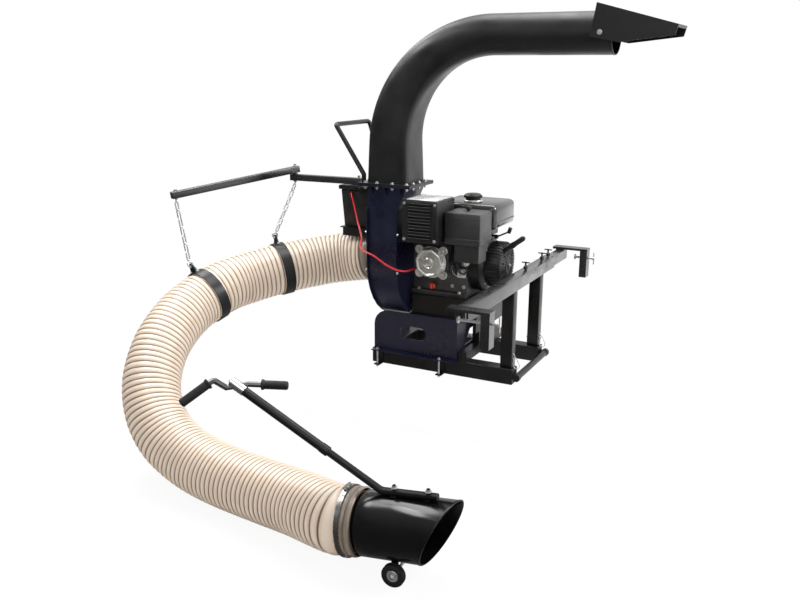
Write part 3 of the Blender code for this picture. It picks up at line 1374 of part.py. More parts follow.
def valve_cover():
    """Cast cover with cut corners, a stepped rim and a ring in the middle."""
    centre = ((CYLINDER_LEFT + CYLINDER_RIGHT) / 2, (CYLINDER_LOW + CYLINDER_HIGH) / 2)

    def outline(size, corner):
        half = size / 2
        corners = []
        for turn in range(4):
            right, up = [(1, 1), (-1, 1), (-1, -1), (1, -1)][turn]
            first = (centre[0] + right * half, centre[1] + up * (half * 0.93 - corner))
            second = (centre[0] + right * (half - corner), centre[1] + up * half * 0.93)
            corners += [first, second] if turn % 2 == 0 else [second, first]
        return corners

    back = CYLINDER_FRONT - GAP
    there = Matrix.Translation((0, back, 0)) @ FRONT_PLANE
    cover = as_mesh(plate("valve_cover", outline(COVER_SIZE, 0.040), 0.008, ALUMINIUM, there))
    dome = as_mesh(plate(
        "cover_dome", outline(COVER_SIZE - 0.022, 0.034), COVER_DEPTH - 0.008, ALUMINIUM,
        Matrix.Translation((0, back - 0.007, 0)) @ FRONT_PLANE,
    ))
    front = back - COVER_DEPTH
    ring = rod(
        "cover_ring", (centre[0], front + 0.005, centre[1]), (centre[0], front - 0.005, centre[1]),
        0.020, ALUMINIUM, 16,
    )
    join(cover, dome, ring)


def oil_cap():
    """Red cap low on the front of the crankcase."""
    profile = [
        (0, 0.026), (0.013, 0.026), (0.014, 0.022), (0.014, 0.010), (0.009, 0.009), (0.009, 0), (0, 0),
    ]
    turned("oil_cap", profile, (-0.055, CASE_FRONT - GAP, 0.368), -Y, RED, 12)


def muffler():
    """Pressed can inside a slotted guard."""
    can_gap = 0.008
    low = MUFFLER_LOW + Vector((can_gap, can_gap, 0.012))
    high = MUFFLER_HIGH - Vector((can_gap, can_gap, can_gap))
    can = box("muffler", low, high, CHARCOAL, 0.012)
    pipe = rod(
        "exhaust_port", (-0.04, -0.04, CYLINDER_HIGH - 0.013), (-0.04, -0.04, low.z + 0.02), 0.016, CHARCOAL, 12
    )
    foot = CYLINDER_HIGH + GAP
    trim = box("port_trim", (-0.08, -0.08, foot - 0.05), (0.0, 0.0, foot), CHARCOAL)
    cut(pipe, trim)
    join(can, pipe)
    for number, along in enumerate((low.x + 0.030, high.x - 0.030)):
        boss_top = MUFFLER_HIGH.z - GUARD_SHEET - GAP
        middle = (low.y + high.y) / 2
        join(can, rod(
            f"guard_boss_{number}", (along, middle, high.z - 0.005), (along, middle, boss_top), 0.007, CHARCOAL, 10
        ))
    guard = box("muffler_guard", MUFFLER_LOW, MUFFLER_HIGH, CHARCOAL, 0.010)
    inside = box(
        "guard_inside", MUFFLER_LOW + Vector((GUARD_SHEET, GUARD_SHEET, -0.05)),
        MUFFLER_HIGH - Vector((GUARD_SHEET, GUARD_SHEET, GUARD_SHEET)), CHARCOAL, 0.009,
    )
    cut(guard, inside)
    span = MUFFLER_HIGH.z - MUFFLER_LOW.z - 0.05
    for number in range(GUARD_SLOTS):
        height = MUFFLER_LOW.z + 0.030 + span * number / (GUARD_SLOTS - 1)
        slot = box(
            f"guard_slot_{number}", (MUFFLER_LOW.x + 0.030, MUFFLER_LOW.y - 0.02, height - 0.0045),
            (MUFFLER_HIGH.x - 0.030, MUFFLER_LOW.y + 0.004, height + 0.0045), CHARCOAL,
        )
        cut(guard, slot)


def air_cleaner():
    """Tall square cover over the element, on a narrower duct down to the carburettor."""
    low, high = CLEANER_LOW, CLEANER_HIGH
    cover = box("air_cleaner", low, high, CHARCOAL, 0.010)
    duct = box(
        "cleaner_duct", (low.x + 0.040, low.y + 0.020, low.z - CLEANER_DUCT_HEIGHT),
        (high.x - 0.012, high.y - 0.030, low.z + 0.01), CHARCOAL,
    )
    join(cover, duct)
    profile = [
        (0, 0.020), (0.009, 0.020), (0.012, 0.016), (0.012, 0.006), (0.007, 0.004), (0.007, 0), (0, 0),
    ]
    seat = Vector(((low.x + high.x) / 2, (low.y + high.y) / 2, high.z + GAP))
    turned("air_cleaner_knob", profile, seat, Z, RUBBER, 12)
    carburettor = box(
        "carburettor", (low.x + 0.018, CLEANER_HIGH.y - 0.030 + GAP, 0.500),
        (low.x + 0.088, CASE_FRONT - GAP, CLEANER_LOW.z - 0.004), ALUMINIUM, 0.003,
    )
    return carburettor


def fuel_tank():
    """Rounded tank on two feet over the crankcase, and its cap."""
    tank = box("fuel_tank", TANK_LOW, TANK_HIGH, CHARCOAL)
    edge = tank.modifiers.new("Edges", "BEVEL")
    edge.width = TANK_EDGE
    edge.segments = 3
    for number, left in enumerate((-0.020, 0.062)):
        join(tank, box(
            f"tank_foot_{number}", (left, 0.085, CASE_TOP + GAP), (left + 0.025, 0.205, TANK_LOW.z + 0.02),
            CHARCOAL,
        ))
    profile = [
        (0, CAP_HEIGHT), (CAP_RADIUS * 0.86, CAP_HEIGHT), (CAP_RADIUS, CAP_HEIGHT - 0.006),
        (CAP_RADIUS, CAP_HEIGHT - 0.012), (CAP_RADIUS * 0.84, CAP_HEIGHT - 0.014),
        (CAP_RADIUS * 0.84, 0), (0, 0),
    ]
    turned("fuel_cap", profile, (CAP_X, CAP_Y, TANK_HIGH.z + GAP), Z, GLOSS_BLACK, 20)


def recoil_starter():
    """Fan shroud and starter cover turned round the shaft, with louvres, and the rope's handle."""
    start = CASE_RIGHT + GAP
    step, face = RECOIL_STEP - start, RECOIL_FACE - start
    profile = [
        (0, face), (RECOIL_RADIUS * 0.55, face), (RECOIL_RADIUS * 0.92, face - 0.008),
        (RECOIL_RADIUS, face - 0.020), (RECOIL_RADIUS, step + 0.004),
        (RECOIL_SHROUD_RADIUS - 0.010, step), (RECOIL_SHROUD_RADIUS, step - 0.012),
        (RECOIL_SHROUD_RADIUS, 0), (0, 0),
    ]
    centre = Vector((start, SHAFT_Y, SHAFT_Z))
    cover = turned("recoil_starter", profile, centre, X, CHARCOAL, 24)
    for number in range(LOUVRES):
        turn = Matrix.Rotation(math.tau * (number + 0.5) / LOUVRES, 4, "X")
        louvre = box(
            f"louvre_{number}", (face - 0.006, RECOIL_RADIUS * 0.60, -0.004),
            (face + 0.02, RECOIL_RADIUS * 0.90, 0.004), CHARCOAL, 0, Matrix.Translation(centre) @ turn,
        )
        cut(cover, louvre)
    guide_start = Vector((RECOIL_FACE - 0.030, SHAFT_Y - 0.045, SHAFT_Z + 0.050))
    pull = Vector((0.80, 0.0, 0.60)).normalized()
    seat = guide_start + pull * 0.062
    guide = rod("rope_guide", guide_start, seat, 0.012, CHARCOAL, 12, 0.008)
    boss_start = Vector((CASE_RIGHT + 0.020, THROTTLE_PIVOT.y, THROTTLE_PIVOT.z))
    boss_end = THROTTLE_PIVOT - X * (THROTTLE_HUB + GAP)
    boss = rod("throttle_boss", boss_start, boss_end, 0.008, CHARCOAL, 12)
    join(cover, guide, boss)
    profile = [
        (0, 0.075), (0.006, 0.075), (0.011, 0.067), (0.0105, 0.030), (0.013, 0.012), (0.009, 0), (0, 0),
    ]
    turned("pull_handle", profile, seat + pull * GAP, pull, RUBBER, 12)


def throttle_lever():
    """Bent plate on a pivot beside the tank, with a round knob."""
    pivot = THROTTLE_PIVOT
    lever = rod("throttle_lever", pivot, pivot + Vector((0.062, -0.020, 0.030)), 0.0035, BLACK, 8)
    knob = rod(
        "throttle_knob", pivot + Vector((0.058, -0.019, 0.024)), pivot + Vector((0.066, -0.021, 0.046)),
        0.008, BLACK, 10,
    )
    hub = rod(
        "throttle_hub", pivot - X * THROTTLE_HUB, pivot + X * 0.004, 0.009, BLACK, 12
    )
    join(lever, knob, hub)


def hanging_gear():
    """Saddles under the boom's eyes, and the chains between them."""
    outer_eye = boom_outer()
    inner_eye = Vector((BOOM_ELBOW.x, BOOM_ELBOW.y, BOOM_BASE.z - 0.012))
    for side, eye, middle, lean, seat in (
        ("inner", inner_eye, SADDLE_INNER, INNER_LEAN, 3 * GAP),
        ("outer", outer_eye, SADDLE_OUTER, OUTER_LEAN, 0.0),
    ):
        shackle = hose_saddle(f"hose_saddle_{side}", middle, lean, eye)
        down = (shackle - eye).normalized()
        chain(f"chain_{side}", eye + down * seat, shackle - down * SHACKLE_WIRE)


base_frame()
end_bar()
posts()
hitch_beam()
hook("hook_near", NEAR_BAR_Y, -BEAM_FRONT - 0.016, NEAR_TUBE_BACK, NEAR_CLAMP_REACH)
hook("hook_far", FAR_BAR_Y, FAR_TUBE_FRONT, FAR_BAR_Y + HOOK_BAR_WIDTH / 2 - 0.003, FAR_CLAMP_REACH)
beam_screws()
fan_stand()
chassis_rail()
engine_deck()
volute_housing()
outlet_neck()
intake_ring()
impeller()
crankshaft()
chute()
deflector_hood()
lift_handle()
boom_bracket()
boom_inner()
hanging_gear()
intake_hose()
hose_clamps()
nozzle()
wheels()
POLE_DIRECTION = pole()
handlebar(POLE_DIRECTION)
battery()
battery_cable()
crankcase()
cylinder()
valve_cover()
oil_cap()
muffler()
air_cleaner()
fuel_tank()
recoil_starter()
throttle_lever()
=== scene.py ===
"""Leaf vacuum that hangs on a trailer's boards: its finishes, ribbed hose, chains, fixings and trim."""

import math

import bmesh
import bpy
from mathutils import Matrix, Vector


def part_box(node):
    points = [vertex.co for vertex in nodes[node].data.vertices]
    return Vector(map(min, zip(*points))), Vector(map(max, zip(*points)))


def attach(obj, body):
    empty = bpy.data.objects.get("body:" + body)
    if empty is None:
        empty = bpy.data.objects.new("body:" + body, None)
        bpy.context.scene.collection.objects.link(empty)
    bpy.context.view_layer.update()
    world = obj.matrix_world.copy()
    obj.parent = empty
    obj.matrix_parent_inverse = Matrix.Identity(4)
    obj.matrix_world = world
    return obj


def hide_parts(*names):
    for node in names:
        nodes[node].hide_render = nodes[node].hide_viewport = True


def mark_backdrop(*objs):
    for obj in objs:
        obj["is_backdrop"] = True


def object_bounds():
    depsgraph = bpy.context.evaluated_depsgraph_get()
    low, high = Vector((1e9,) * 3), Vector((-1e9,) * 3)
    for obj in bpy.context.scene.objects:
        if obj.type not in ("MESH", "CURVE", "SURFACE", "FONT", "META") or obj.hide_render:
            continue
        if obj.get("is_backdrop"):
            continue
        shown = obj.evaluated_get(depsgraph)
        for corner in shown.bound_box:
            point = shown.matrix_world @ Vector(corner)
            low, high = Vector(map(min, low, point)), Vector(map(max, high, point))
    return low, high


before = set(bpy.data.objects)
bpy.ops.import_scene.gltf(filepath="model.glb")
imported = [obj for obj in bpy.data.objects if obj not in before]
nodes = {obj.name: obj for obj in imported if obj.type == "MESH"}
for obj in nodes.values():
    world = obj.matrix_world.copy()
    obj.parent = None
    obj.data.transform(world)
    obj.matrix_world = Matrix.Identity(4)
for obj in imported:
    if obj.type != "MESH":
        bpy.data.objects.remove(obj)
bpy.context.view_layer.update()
X, Y, Z = Vector((1, 0, 0)), Vector((0, 1, 0)), Vector((0, 0, 1))


# Skid frame and posts: square steel tube, welded into a U and closed by a round bar with caps.
# All of it is satin black powder coat, whose faint orange peel breaks up the reflections.
# The edges that the eye sees as sharp stay sharp, and the round ones are shaded round.
CRISP_ANGLE = math.radians(33)


def add(tree, kind, inputs=None, **settings):
    """A node whose inputs are set, or linked where a socket or another node is given."""
    node = tree.nodes.new(kind)
    for key, value in settings.items():
        setattr(node, key, value)
    for key, value in (inputs or {}).items():
        if isinstance(value, bpy.types.Node):
            value = value.outputs[0]
        if isinstance(value, bpy.types.NodeSocket):
            tree.links.new(value, node.inputs[key])
        else:
            node.inputs[key].default_value = value
    return node


def ranged(tree, value, low, high, start=0.0, end=1.0, **settings):
    """The value's way from low to high, as a number that runs from start to end."""
    ends = {"Value": value, "From Min": low, "From Max": high, "To Min": start, "To Max": end}
    return add(tree, "ShaderNodeMapRange", ends, **settings)


def tinted(tree, share, low, high):
    """A colour that runs from low to high with the share."""
    low, high = (end if isinstance(end, bpy.types.NodeSocket) else (*end, 1) for end in (low, high))
    return add(tree, "ShaderNodeMix", {0: share, 6: low, 7: high}, data_type="RGBA").outputs[2]


def finish(name, colour, roughness, metallic=0.0):
    """A plain material, with its node tree and its shader."""
    made = bpy.data.materials.new(name)
    made.use_nodes = True
    shader = made.node_tree.nodes["Principled BSDF"]
    shader.inputs["Base Color"].default_value = (*colour, 1)
    shader.inputs["Roughness"].default_value = roughness
    shader.inputs["Metallic"].default_value = metallic
    return made, made.node_tree, shader


def relief(tree, shader, place, scale, strength, depth):
    """Fine noise that tips the surface's normal."""
    fine = add(tree, "ShaderNodeTexNoise", {"Vector": place, "Scale": scale, "Detail": 2.0})
    bump = add(tree, "ShaderNodeBump", {"Height": fine, "Strength": strength, "Distance": depth})
    tree.links.new(bump.outputs[0], shader.inputs["Normal"])


def grained(
    name, colour, roughness, grain, depth,
    metallic=0.0, tone=0.25, spread=0.1, patch=9.0, mirror=0.5,
):
    """A coat or casting: fine grain in the relief, wide soft patches in tone and gloss."""
    made, tree, shader = finish(name, colour, roughness, metallic)
    shader.inputs["Specular IOR Level"].default_value = mirror
    place = add(tree, "ShaderNodeTexCoord").outputs["Object"]
    wide = add(tree, "ShaderNodeTexNoise", {"Vector": place, "Scale": patch, "Detail": 4.0})
    dark, light = ([value * (1 + turn * tone) for value in colour] for turn in (-1, 1))
    spots = ranged(tree, wide, 0.3, 0.7)
    gloss = ranged(tree, wide, 0.3, 0.7, roughness - spread, roughness + spread)
    tree.links.new(tinted(tree, spots, dark, light), shader.inputs["Base Color"])
    tree.links.new(gloss.outputs[0], shader.inputs["Roughness"])
    relief(tree, shader, place, grain, 0.35, depth)
    return made


def edged(tree, geometry, angle):
    """Smooth faces, with sharp edges where the mesh turns by more than the angle."""
    soft = add(tree, "GeometryNodeSetShadeSmooth", {0: geometry, 2: True}, domain="FACE")
    turn = add(tree, "GeometryNodeInputMeshEdgeAngle")
    sharp = add(
        tree, "FunctionNodeCompare", {0: turn, 1: angle}, data_type="FLOAT", operation="GREATER_THAN"
    )
    return add(tree, "GeometryNodeSetShadeSmooth", {0: soft, 1: sharp, 2: False}, domain="EDGE")


def group(name, sizes, painted=True):
    """A tree from Geometry to Geometry, with the named sizes and a material as its other inputs."""
    tree = bpy.data.node_groups.new(name, "GeometryNodeTree")
    tree.interface.new_socket("Geometry", in_out="INPUT", socket_type="NodeSocketGeometry")
    for label, value in sizes.items():
        socket = tree.interface.new_socket(label, in_out="INPUT", socket_type="NodeSocketFloat")
        socket.default_value = value
    if painted:
        tree.interface.new_socket("Material", in_out="INPUT", socket_type="NodeSocketMaterial")
    tree.interface.new_socket("Geometry", in_out="OUTPUT", socket_type="NodeSocketGeometry")
    return tree, add(tree, "NodeGroupInput")


# The triangles of a node come loose, so they are welded before their edges are told apart.
CRISP_EDGES, crisp_start = group("crisp_edges", {"Edge Angle": CRISP_ANGLE}, painted=False)
crisp_weld = add(CRISP_EDGES, "GeometryNodeMergeByDistance", {0: crisp_start, "Distance": 0.00001})
add(CRISP_EDGES, "NodeGroupOutput", {0: edged(CRISP_EDGES, crisp_weld, crisp_start.outputs[1])})


def dress(material, *names):
    for name in names:
        node = nodes[name]
        node.data.materials.clear()
        node.data.materials.append(material)
        node.modifiers.new("Edges", "NODES").node_group = CRISP_EDGES


BLACK_COAT = grained(
    "black_powder_coat", (0.0048, 0.0048, 0.0052), 0.4, 1100, 0.00025, mirror=0.32
)
dress(BLACK_COAT, "base_frame", "end_bar", "front_post", "rear_post", "chassis_rail", "engine_deck")


# Screws, nuts and washers: zinc-plated steel, one hexagon head over one washer at each place.
# They are set in rows along the flanges, and each row rides on the body that it holds together.
ZINC = grained(
    "zinc_plate", (0.52, 0.52, 0.51), 0.34, 500, 0.0001,
    metallic=0.75, tone=0.1, spread=0.08, patch=60.0,
)
DARK_ZINC = grained(
    "blackened_steel", (0.055, 0.055, 0.058), 0.42, 500, 0.0001,
    metallic=0.8, tone=0.2, spread=0.08, patch=60.0,
)


def maths(tree, operation, first, second=0.0):
    return add(tree, "ShaderNodeMath", {0: first, 1: second}, operation=operation)


def rod(tree, sides, radius, length):
    return add(tree, "GeometryNodeMeshCylinder", {"Vertices": sides, "Radius": radius, "Depth": length})


def upright_rod(tree, sides, radius, length, foot):
    """A rod along Z that stands on the given height."""
    lift = maths(tree, "ADD", maths(tree, "MULTIPLY", length, 0.5), foot)
    to = add(tree, "ShaderNodeCombineXYZ", {2: lift})
    bar = rod(tree, sides, radius, length)
    return add(tree, "GeometryNodeTransform", {"Geometry": bar, "Translation": to})


def joined(tree, *parts):
    whole = add(tree, "GeometryNodeJoinGeometry")
    for part in parts:
        tree.links.new(part.outputs[0], whole.inputs[0])
    return whole


def close(tree, start, geometry):
    """Ends a tree with the material that its user gives."""
    painted = add(
        tree, "GeometryNodeSetMaterial", {0: geometry, "Material": start.outputs["Material"]}
    )
    add(tree, "NodeGroupOutput", {0: painted})
    return tree


def read(tree, name, kind):
    return add(tree, "GeometryNodeInputNamedAttribute", {"Name": name}, data_type=kind)


def repeated(name, one, sizes):
    """A tree that sets the shape that `one` builds at every point, turned by the point's own turn."""
    tree, start = group(name, sizes)
    turn = add(tree, "FunctionNodeEulerToRotation", {0: read(tree, "turn", "FLOAT_VECTOR")})
    sown = add(
        tree, "GeometryNodeInstanceOnPoints",
        {"Points": start, "Instance": one(tree, start.outputs), "Rotation": turn,
         "Scale": read(tree, "size", "FLOAT")},
    )
    real = add(tree, "GeometryNodeRealizeInstances", {0: sown})
    return close(tree, start, edged(tree, real, CRISP_ANGLE))


def hex_bolt(tree, size):
    washer, head = size["Washer"], size["Head"]
    return joined(
        tree, upright_rod(tree, 16, size["Washer Radius"], washer, 0.0),
        upright_rod(tree, 6, size["Head Radius"], head, washer),
        upright_rod(tree, 10, size["Thread Radius"], size["Thread"], maths(tree, "ADD", washer, head)),
    )


BOLT = repeated("hex_bolt", hex_bolt, {
    "Washer Radius": 0.0085, "Washer": 0.0014, "Head Radius": 0.0066, "Head": 0.0048,
    "Thread Radius": 0.0036, "Thread": 0.002,
})


def stand(name, data):
    """An object of the data, in the scene."""
    made = bpy.data.objects.new(name, data)
    bpy.context.scene.collection.objects.link(made)
    return made


def settle(piece):
    """The modifiers' result as a plain mesh, in a piece of the same name."""
    bpy.context.view_layer.update()
    graph = bpy.context.evaluated_depsgraph_get()
    mesh = bpy.data.meshes.new_from_object(piece.evaluated_get(graph), depsgraph=graph)
    name = piece.name
    bpy.data.objects.remove(piece, do_unlink=True)
    mesh.name = name
    return stand(name, mesh)


def fit(piece, body="machine", replaced=()):
    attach(piece, body)
    if replaced:
        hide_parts(*replaced)
    return piece


def grow(piece, tree, material, sizes):
    """Runs a piece through a tree, whose inputs take the material and the sizes of the same name."""
    step = piece.modifiers.new("Grow", "NODES")
    step.node_group = tree
    values = {"material": material, **sizes}
    for item in tree.interface.items_tree:
        label = item.name.replace(" ", "_").lower()
        if item.item_type == "SOCKET" and item.in_out == "INPUT" and label in values:
            step[item.identifier] = values[label]
    return settle(piece)


def set_out(name, tree, places, material, body="machine", replaced=(), **sizes):
    """One mesh of a repeated shape: places are (point, direction or turn, size)."""
    mesh = bpy.data.meshes.new(name)
    mesh.from_pydata([tuple(place[0]) for place in places], [], [])
    mesh.attributes.new("turn", "FLOAT_VECTOR", "POINT")
    mesh.attributes.new("size", "FLOAT", "POINT")
    turns, scales = mesh.attributes["turn"], mesh.attributes["size"]
    for index, (_, facing, *size) in enumerate(places):
        if not isinstance(facing, Matrix):
            facing = Vector(facing).to_track_quat("Z", "Y")
        turns.data[index].vector = facing.to_euler()
        scales.data[index].value = size[0] if size else 1.0
    return fit(grow(stand(name, mesh), tree, material, sizes), body, replaced)


def bolts(name, places, body="machine", **sizes):
    return set_out(name, BOLT, places, ZINC, body, **sizes)


STRAP_PLACES, STRAP_BOLT_Y = (-0.285, 0.01), -0.058
RAIL_TOP, STAND_FLANGE_TOP = 0.066, 0.0704
REAR_CLAMP_PLACES, REAR_CLAMP_Y = (-0.01, 0.09), 0.33
POST_PLACES, POST_BOLT_HEIGHT, POST_LEFT, POST_RIGHT = (0.005, 0.337), 0.1, 0.2656, 0.3164
frame_bolts = [((x, STRAP_BOLT_Y, STAND_FLANGE_TOP), Z) for x in STRAP_PLACES]
frame_bolts += [((x, STRAP_BOLT_Y, -0.001), -Z, 0.9) for x in STRAP_PLACES]
frame_bolts += [((x, REAR_CLAMP_Y, RAIL_TOP), Z, 0.9) for x in REAR_CLAMP_PLACES]
bolts("frame_bolts", frame_bolts)
post_bolts = []
for y in POST_PLACES:
    post_bolts += [((POST_RIGHT, y, POST_BOLT_HEIGHT), X), ((POST_LEFT, y, POST_BOLT_HEIGHT), -X, 0.9)]
bolts("post_bolts", post_bolts)


# Spring pins at the feet of the posts: bright wire bent into a hairpin round each post's bolt.
# Each pin hangs on the outer side of its post, where a hand can pull it.
def drawn(name, points, radius, sides, smooth):
    """A round line through the points: a smooth one, or a straight one from each to the next."""
    line = bpy.data.curves.new(name, "CURVE")
    line.dimensions = "3D"
    line.bevel_depth = radius
    line.bevel_resolution = sides
    line.use_fill_caps = radius > 0
    path = line.splines.new("BEZIER" if smooth else "POLY")
    knots = path.bezier_points if smooth else path.points
    knots.add(len(points) - 1)
    for knot, point in zip(knots, points):
        knot.co = point if smooth else (*point, 1)
        if smooth:
            knot.handle_left_type = knot.handle_right_type = "AUTO"
    return line, path


def wire(name, points, radius, material=ZINC, body="machine", sides=3, closed=False, replaced=()):
    """Round wire or rod along a smooth line through the given points."""
    line, path = drawn(name, points, radius, sides, True)
    path.use_cyclic_u = closed
    path.resolution_u = 8
    line.materials.append(material)
    piece = settle(stand(name, line))
    piece.data.shade_smooth()
    return fit(piece, body, replaced)


PIN_BENDS = (
    (0.33, 0.0, 0.112), (0.325, -0.004, 0.094), (0.33, -0.006, 0.078), (0.341, -0.004, 0.071),
    (0.35, 0.004, 0.078), (0.344, 0.006, 0.096), (0.33, 0.004, 0.12), (0.322, 0.0, 0.134),
)
for number, post_y in enumerate(POST_PLACES, 1):
    wire(f"post_pin_{number}", [(x, post_y - 0.024 + y, z) for x, y, z in PIN_BENDS], 0.0015)


# Clamp straps that hold the fan's stand down on the front rail: bent flat bar with a long bolt.
# Each is an upright plate against the rail and a foot under it.
def block(low, high):
    """A box between two corners."""
    low, high = Vector(low), Vector(high)
    shape = bmesh.new()
    bmesh.ops.create_cube(shape, size=1.0)
    bmesh.ops.scale(shape, vec=high - low, verts=shape.verts)
    bmesh.ops.translate(shape, vec=(low + high) / 2, verts=shape.verts)
    return shape


def skinned(name, shape, material, sharp=0):
    """An object of the shape, smooth but for edges sharper than the given degrees, or flat."""
    mesh = bpy.data.meshes.new(name)
    shape.to_mesh(mesh)
    shape.free()
    if sharp:
        mesh.shade_smooth()
        mesh.set_sharp_from_angle(angle=math.radians(sharp))
    mesh.materials.append(material)
    return stand(name, mesh)


def slab(name, low, high, material, bevel=0.0015, turn=None, body="machine", replaced=()):
    """A plate or block with its edges eased."""
    shape = block(low, high)
    bmesh.ops.bevel(shape, geom=shape.edges[:], offset=bevel, segments=2, profile=0.6, affect="EDGES")
    if turn is not None:
        bmesh.ops.transform(shape, matrix=turn, verts=shape.verts)
    return fit(skinned(name, shape, material, 40), body, replaced)


STRAP_HALF = 0.014
for number, x in enumerate(STRAP_PLACES, 1):
    left, right = x - STRAP_HALF, x + STRAP_HALF
    slab(f"rail_strap_{number}", (left, -0.0345, 0.001), (right, -0.0305, 0.0655), BLACK_COAT)
    wire(f"strap_bolt_{number}", [(x, STRAP_BOLT_Y, z) for z in (0.067, 0.034, 0.0)], 0.004)
    slab(f"strap_foot_{number}", (left, -0.068, 0.0005), (right, -0.0302, 0.0045), BLACK_COAT)


# Hitch beam with its two hooks: square tube in tube, locked by T-screws, with a clamp screw in each leg.
# The powder coat is glossier here, and the long top face picks up the light.
BEAM_COAT = grained(
    "beam_powder_coat", (0.011, 0.011, 0.0115), 0.28, 900, 0.00022, mirror=0.95
)
dress(BEAM_COAT, "hitch_beam", "hook_near", "hook_far")
dress(DARK_ZINC, "beam_screw_1", "beam_screw_2", "beam_screw_3")
dress(ZINC, "clamp_screw_near", "clamp_screw_far")


def circle(tree, sides, radius):
    ends = {"Resolution": sides, "Radius": radius}
    return add(tree, "GeometryNodeCurvePrimitiveCircle", ends, mode="RADIUS")


def hoop(tree, sides, radius, strand_sides, strand):
    """A ring of round wire that lies flat."""
    ends = {0: circle(tree, sides, radius), 1: circle(tree, strand_sides, strand)}
    return add(tree, "GeometryNodeCurveToMesh", ends)


RING = repeated(
    "ring", lambda tree, size: hoop(tree, 16, size["Radius"], 6, size["Wire"]),
    {"Radius": 0.0047, "Wire": 0.0006},
)
THREAD_PITCH, CLAMP_HEIGHT, CLAMP_BAR_X = 0.0022, 0.4043, 0.4465
for side, start_x, end_x, y in (("near", 0.302, 0.384, -0.525), ("far", 0.366, 0.385, 0.695)):
    count, body = int((end_x - start_x) / THREAD_PITCH), f"{side}_clamp_screw"
    turns = [((start_x + step * THREAD_PITCH, y, CLAMP_HEIGHT), X) for step in range(count)]
    set_out(f"clamp_thread_{side}", RING, turns, ZINC, body)
    bar = [(CLAMP_BAR_X, y, z) for z in (0.377, CLAMP_HEIGHT, 0.432)]
    wire(f"clamp_bar_{side}", bar, 0.003, ZINC, body)


# Fan: stand, scroll housing, outlet neck and intake ring, folded and seam-welded from sheet steel.
# All are navy powder coat, and the name plates that such a housing carries are left off.
NAVY_COAT = grained(
    "navy_powder_coat", (0.006, 0.0072, 0.023), 0.32, 1000, 0.00025, mirror=0.4
)
dress(NAVY_COAT, "fan_stand", "volute_housing", "outlet_neck", "intake_ring")
dress(ZINC, "impeller", "crankshaft")
SHAFT_Y, SHAFT_Z = 0.14, 0.46
INTAKE_X, INTAKE_BOLT_RADIUS = -0.2953, 0.146
NECK_FLANGE_LOW, CHUTE_FOOT, CHUTE_FLANGE_TOP = 0.79, 0.7983, 0.8039
RIM_Y, RIM_HEIGHTS = -0.1365, (0.44, 0.6)


def polar(angle, radius=1.0):
    return radius * math.cos(angle), radius * math.sin(angle)


def round_about(count, first=0.0):
    """Cosine and sine at equal steps round a circle, from the given share of a step."""
    return [polar(math.tau * (step + first) / count) for step in range(count)]


def ringed(x, radius, count, first, *rest):
    """Places round the shaft, each followed by a direction and a size."""
    return [
        ((x, SHAFT_Y + radius * across, SHAFT_Z + radius * up), *rest)
        for across, up in round_about(count, first)
    ]


flange_places = [(x, -0.1445) for x in (-0.292, -0.238, -0.169, -0.105)]
flange_places += [(-0.098, y) for y in (-0.1, -0.045, 0.01)] + [(-0.309, y) for y in (-0.085, 0.005)]
flange_places += [(x, 0.054) for x in (-0.27, -0.2, -0.13)]
bolts("flange_bolts", [((x, y, CHUTE_FLANGE_TOP), Z) for x, y in flange_places])
bolts("flange_nuts", [((x, y, NECK_FLANGE_LOW), -Z) for x, y in flange_places], thread=0.005)
bolts("intake_ring_bolts", ringed(INTAKE_X, INTAKE_BOLT_RADIUS, 8, 0.5, -X))
bolts(
    "rim_bolts",
    [((x, RIM_Y, height), way, 0.8) for x, way in ((-0.15, X), (-0.29, -X)) for height in RIM_HEIGHTS],
)


def lofted(name, rings, material, replaced=(), sharp=38, capped=False, bevel=0.0):
    """A skin through rings, whose last ring runs back into its first or has a cap as the first has."""
    shape = bmesh.new()
    rows = [[shape.verts.new(point) for point in ring] for ring in rings]
    if capped:
        shape.faces.new(rows[0][::-1])
        shape.faces.new(rows[-1])
    for lower, upper in zip(rows, rows[1:] if capped else rows[1:] + rows[:1]):
        for index in range(len(lower)):
            after = (index + 1) % len(lower)
            shape.faces.new((lower[index], lower[after], upper[after], upper[index]))
    bmesh.ops.recalc_face_normals(shape, faces=shape.faces[:])
    if bevel:
        bmesh.ops.bevel(shape, geom=shape.edges[:], offset=bevel, segments=1, affect="EDGES")
    return fit(skinned(name, shape, material, sharp), replaced=replaced)


# Small welded triangles stiffen the neck's flange.
GUSSET_HALF, GUSSET_OUTLINE = 0.0015, ((-0.1305, 0.7895), (-0.1545, 0.7895), (-0.1305, 0.756))
for number, x in enumerate((-0.265, -0.2035, -0.136), 1):
    sheet = [[(face, y, z) for y, z in GUSSET_OUTLINE] for face in (x - GUSSET_HALF, x + GUSSET_HALF)]
    lofted(f"neck_gusset_{number}", sheet, NAVY_COAT, sharp=0, capped=True, bevel=0.0004)


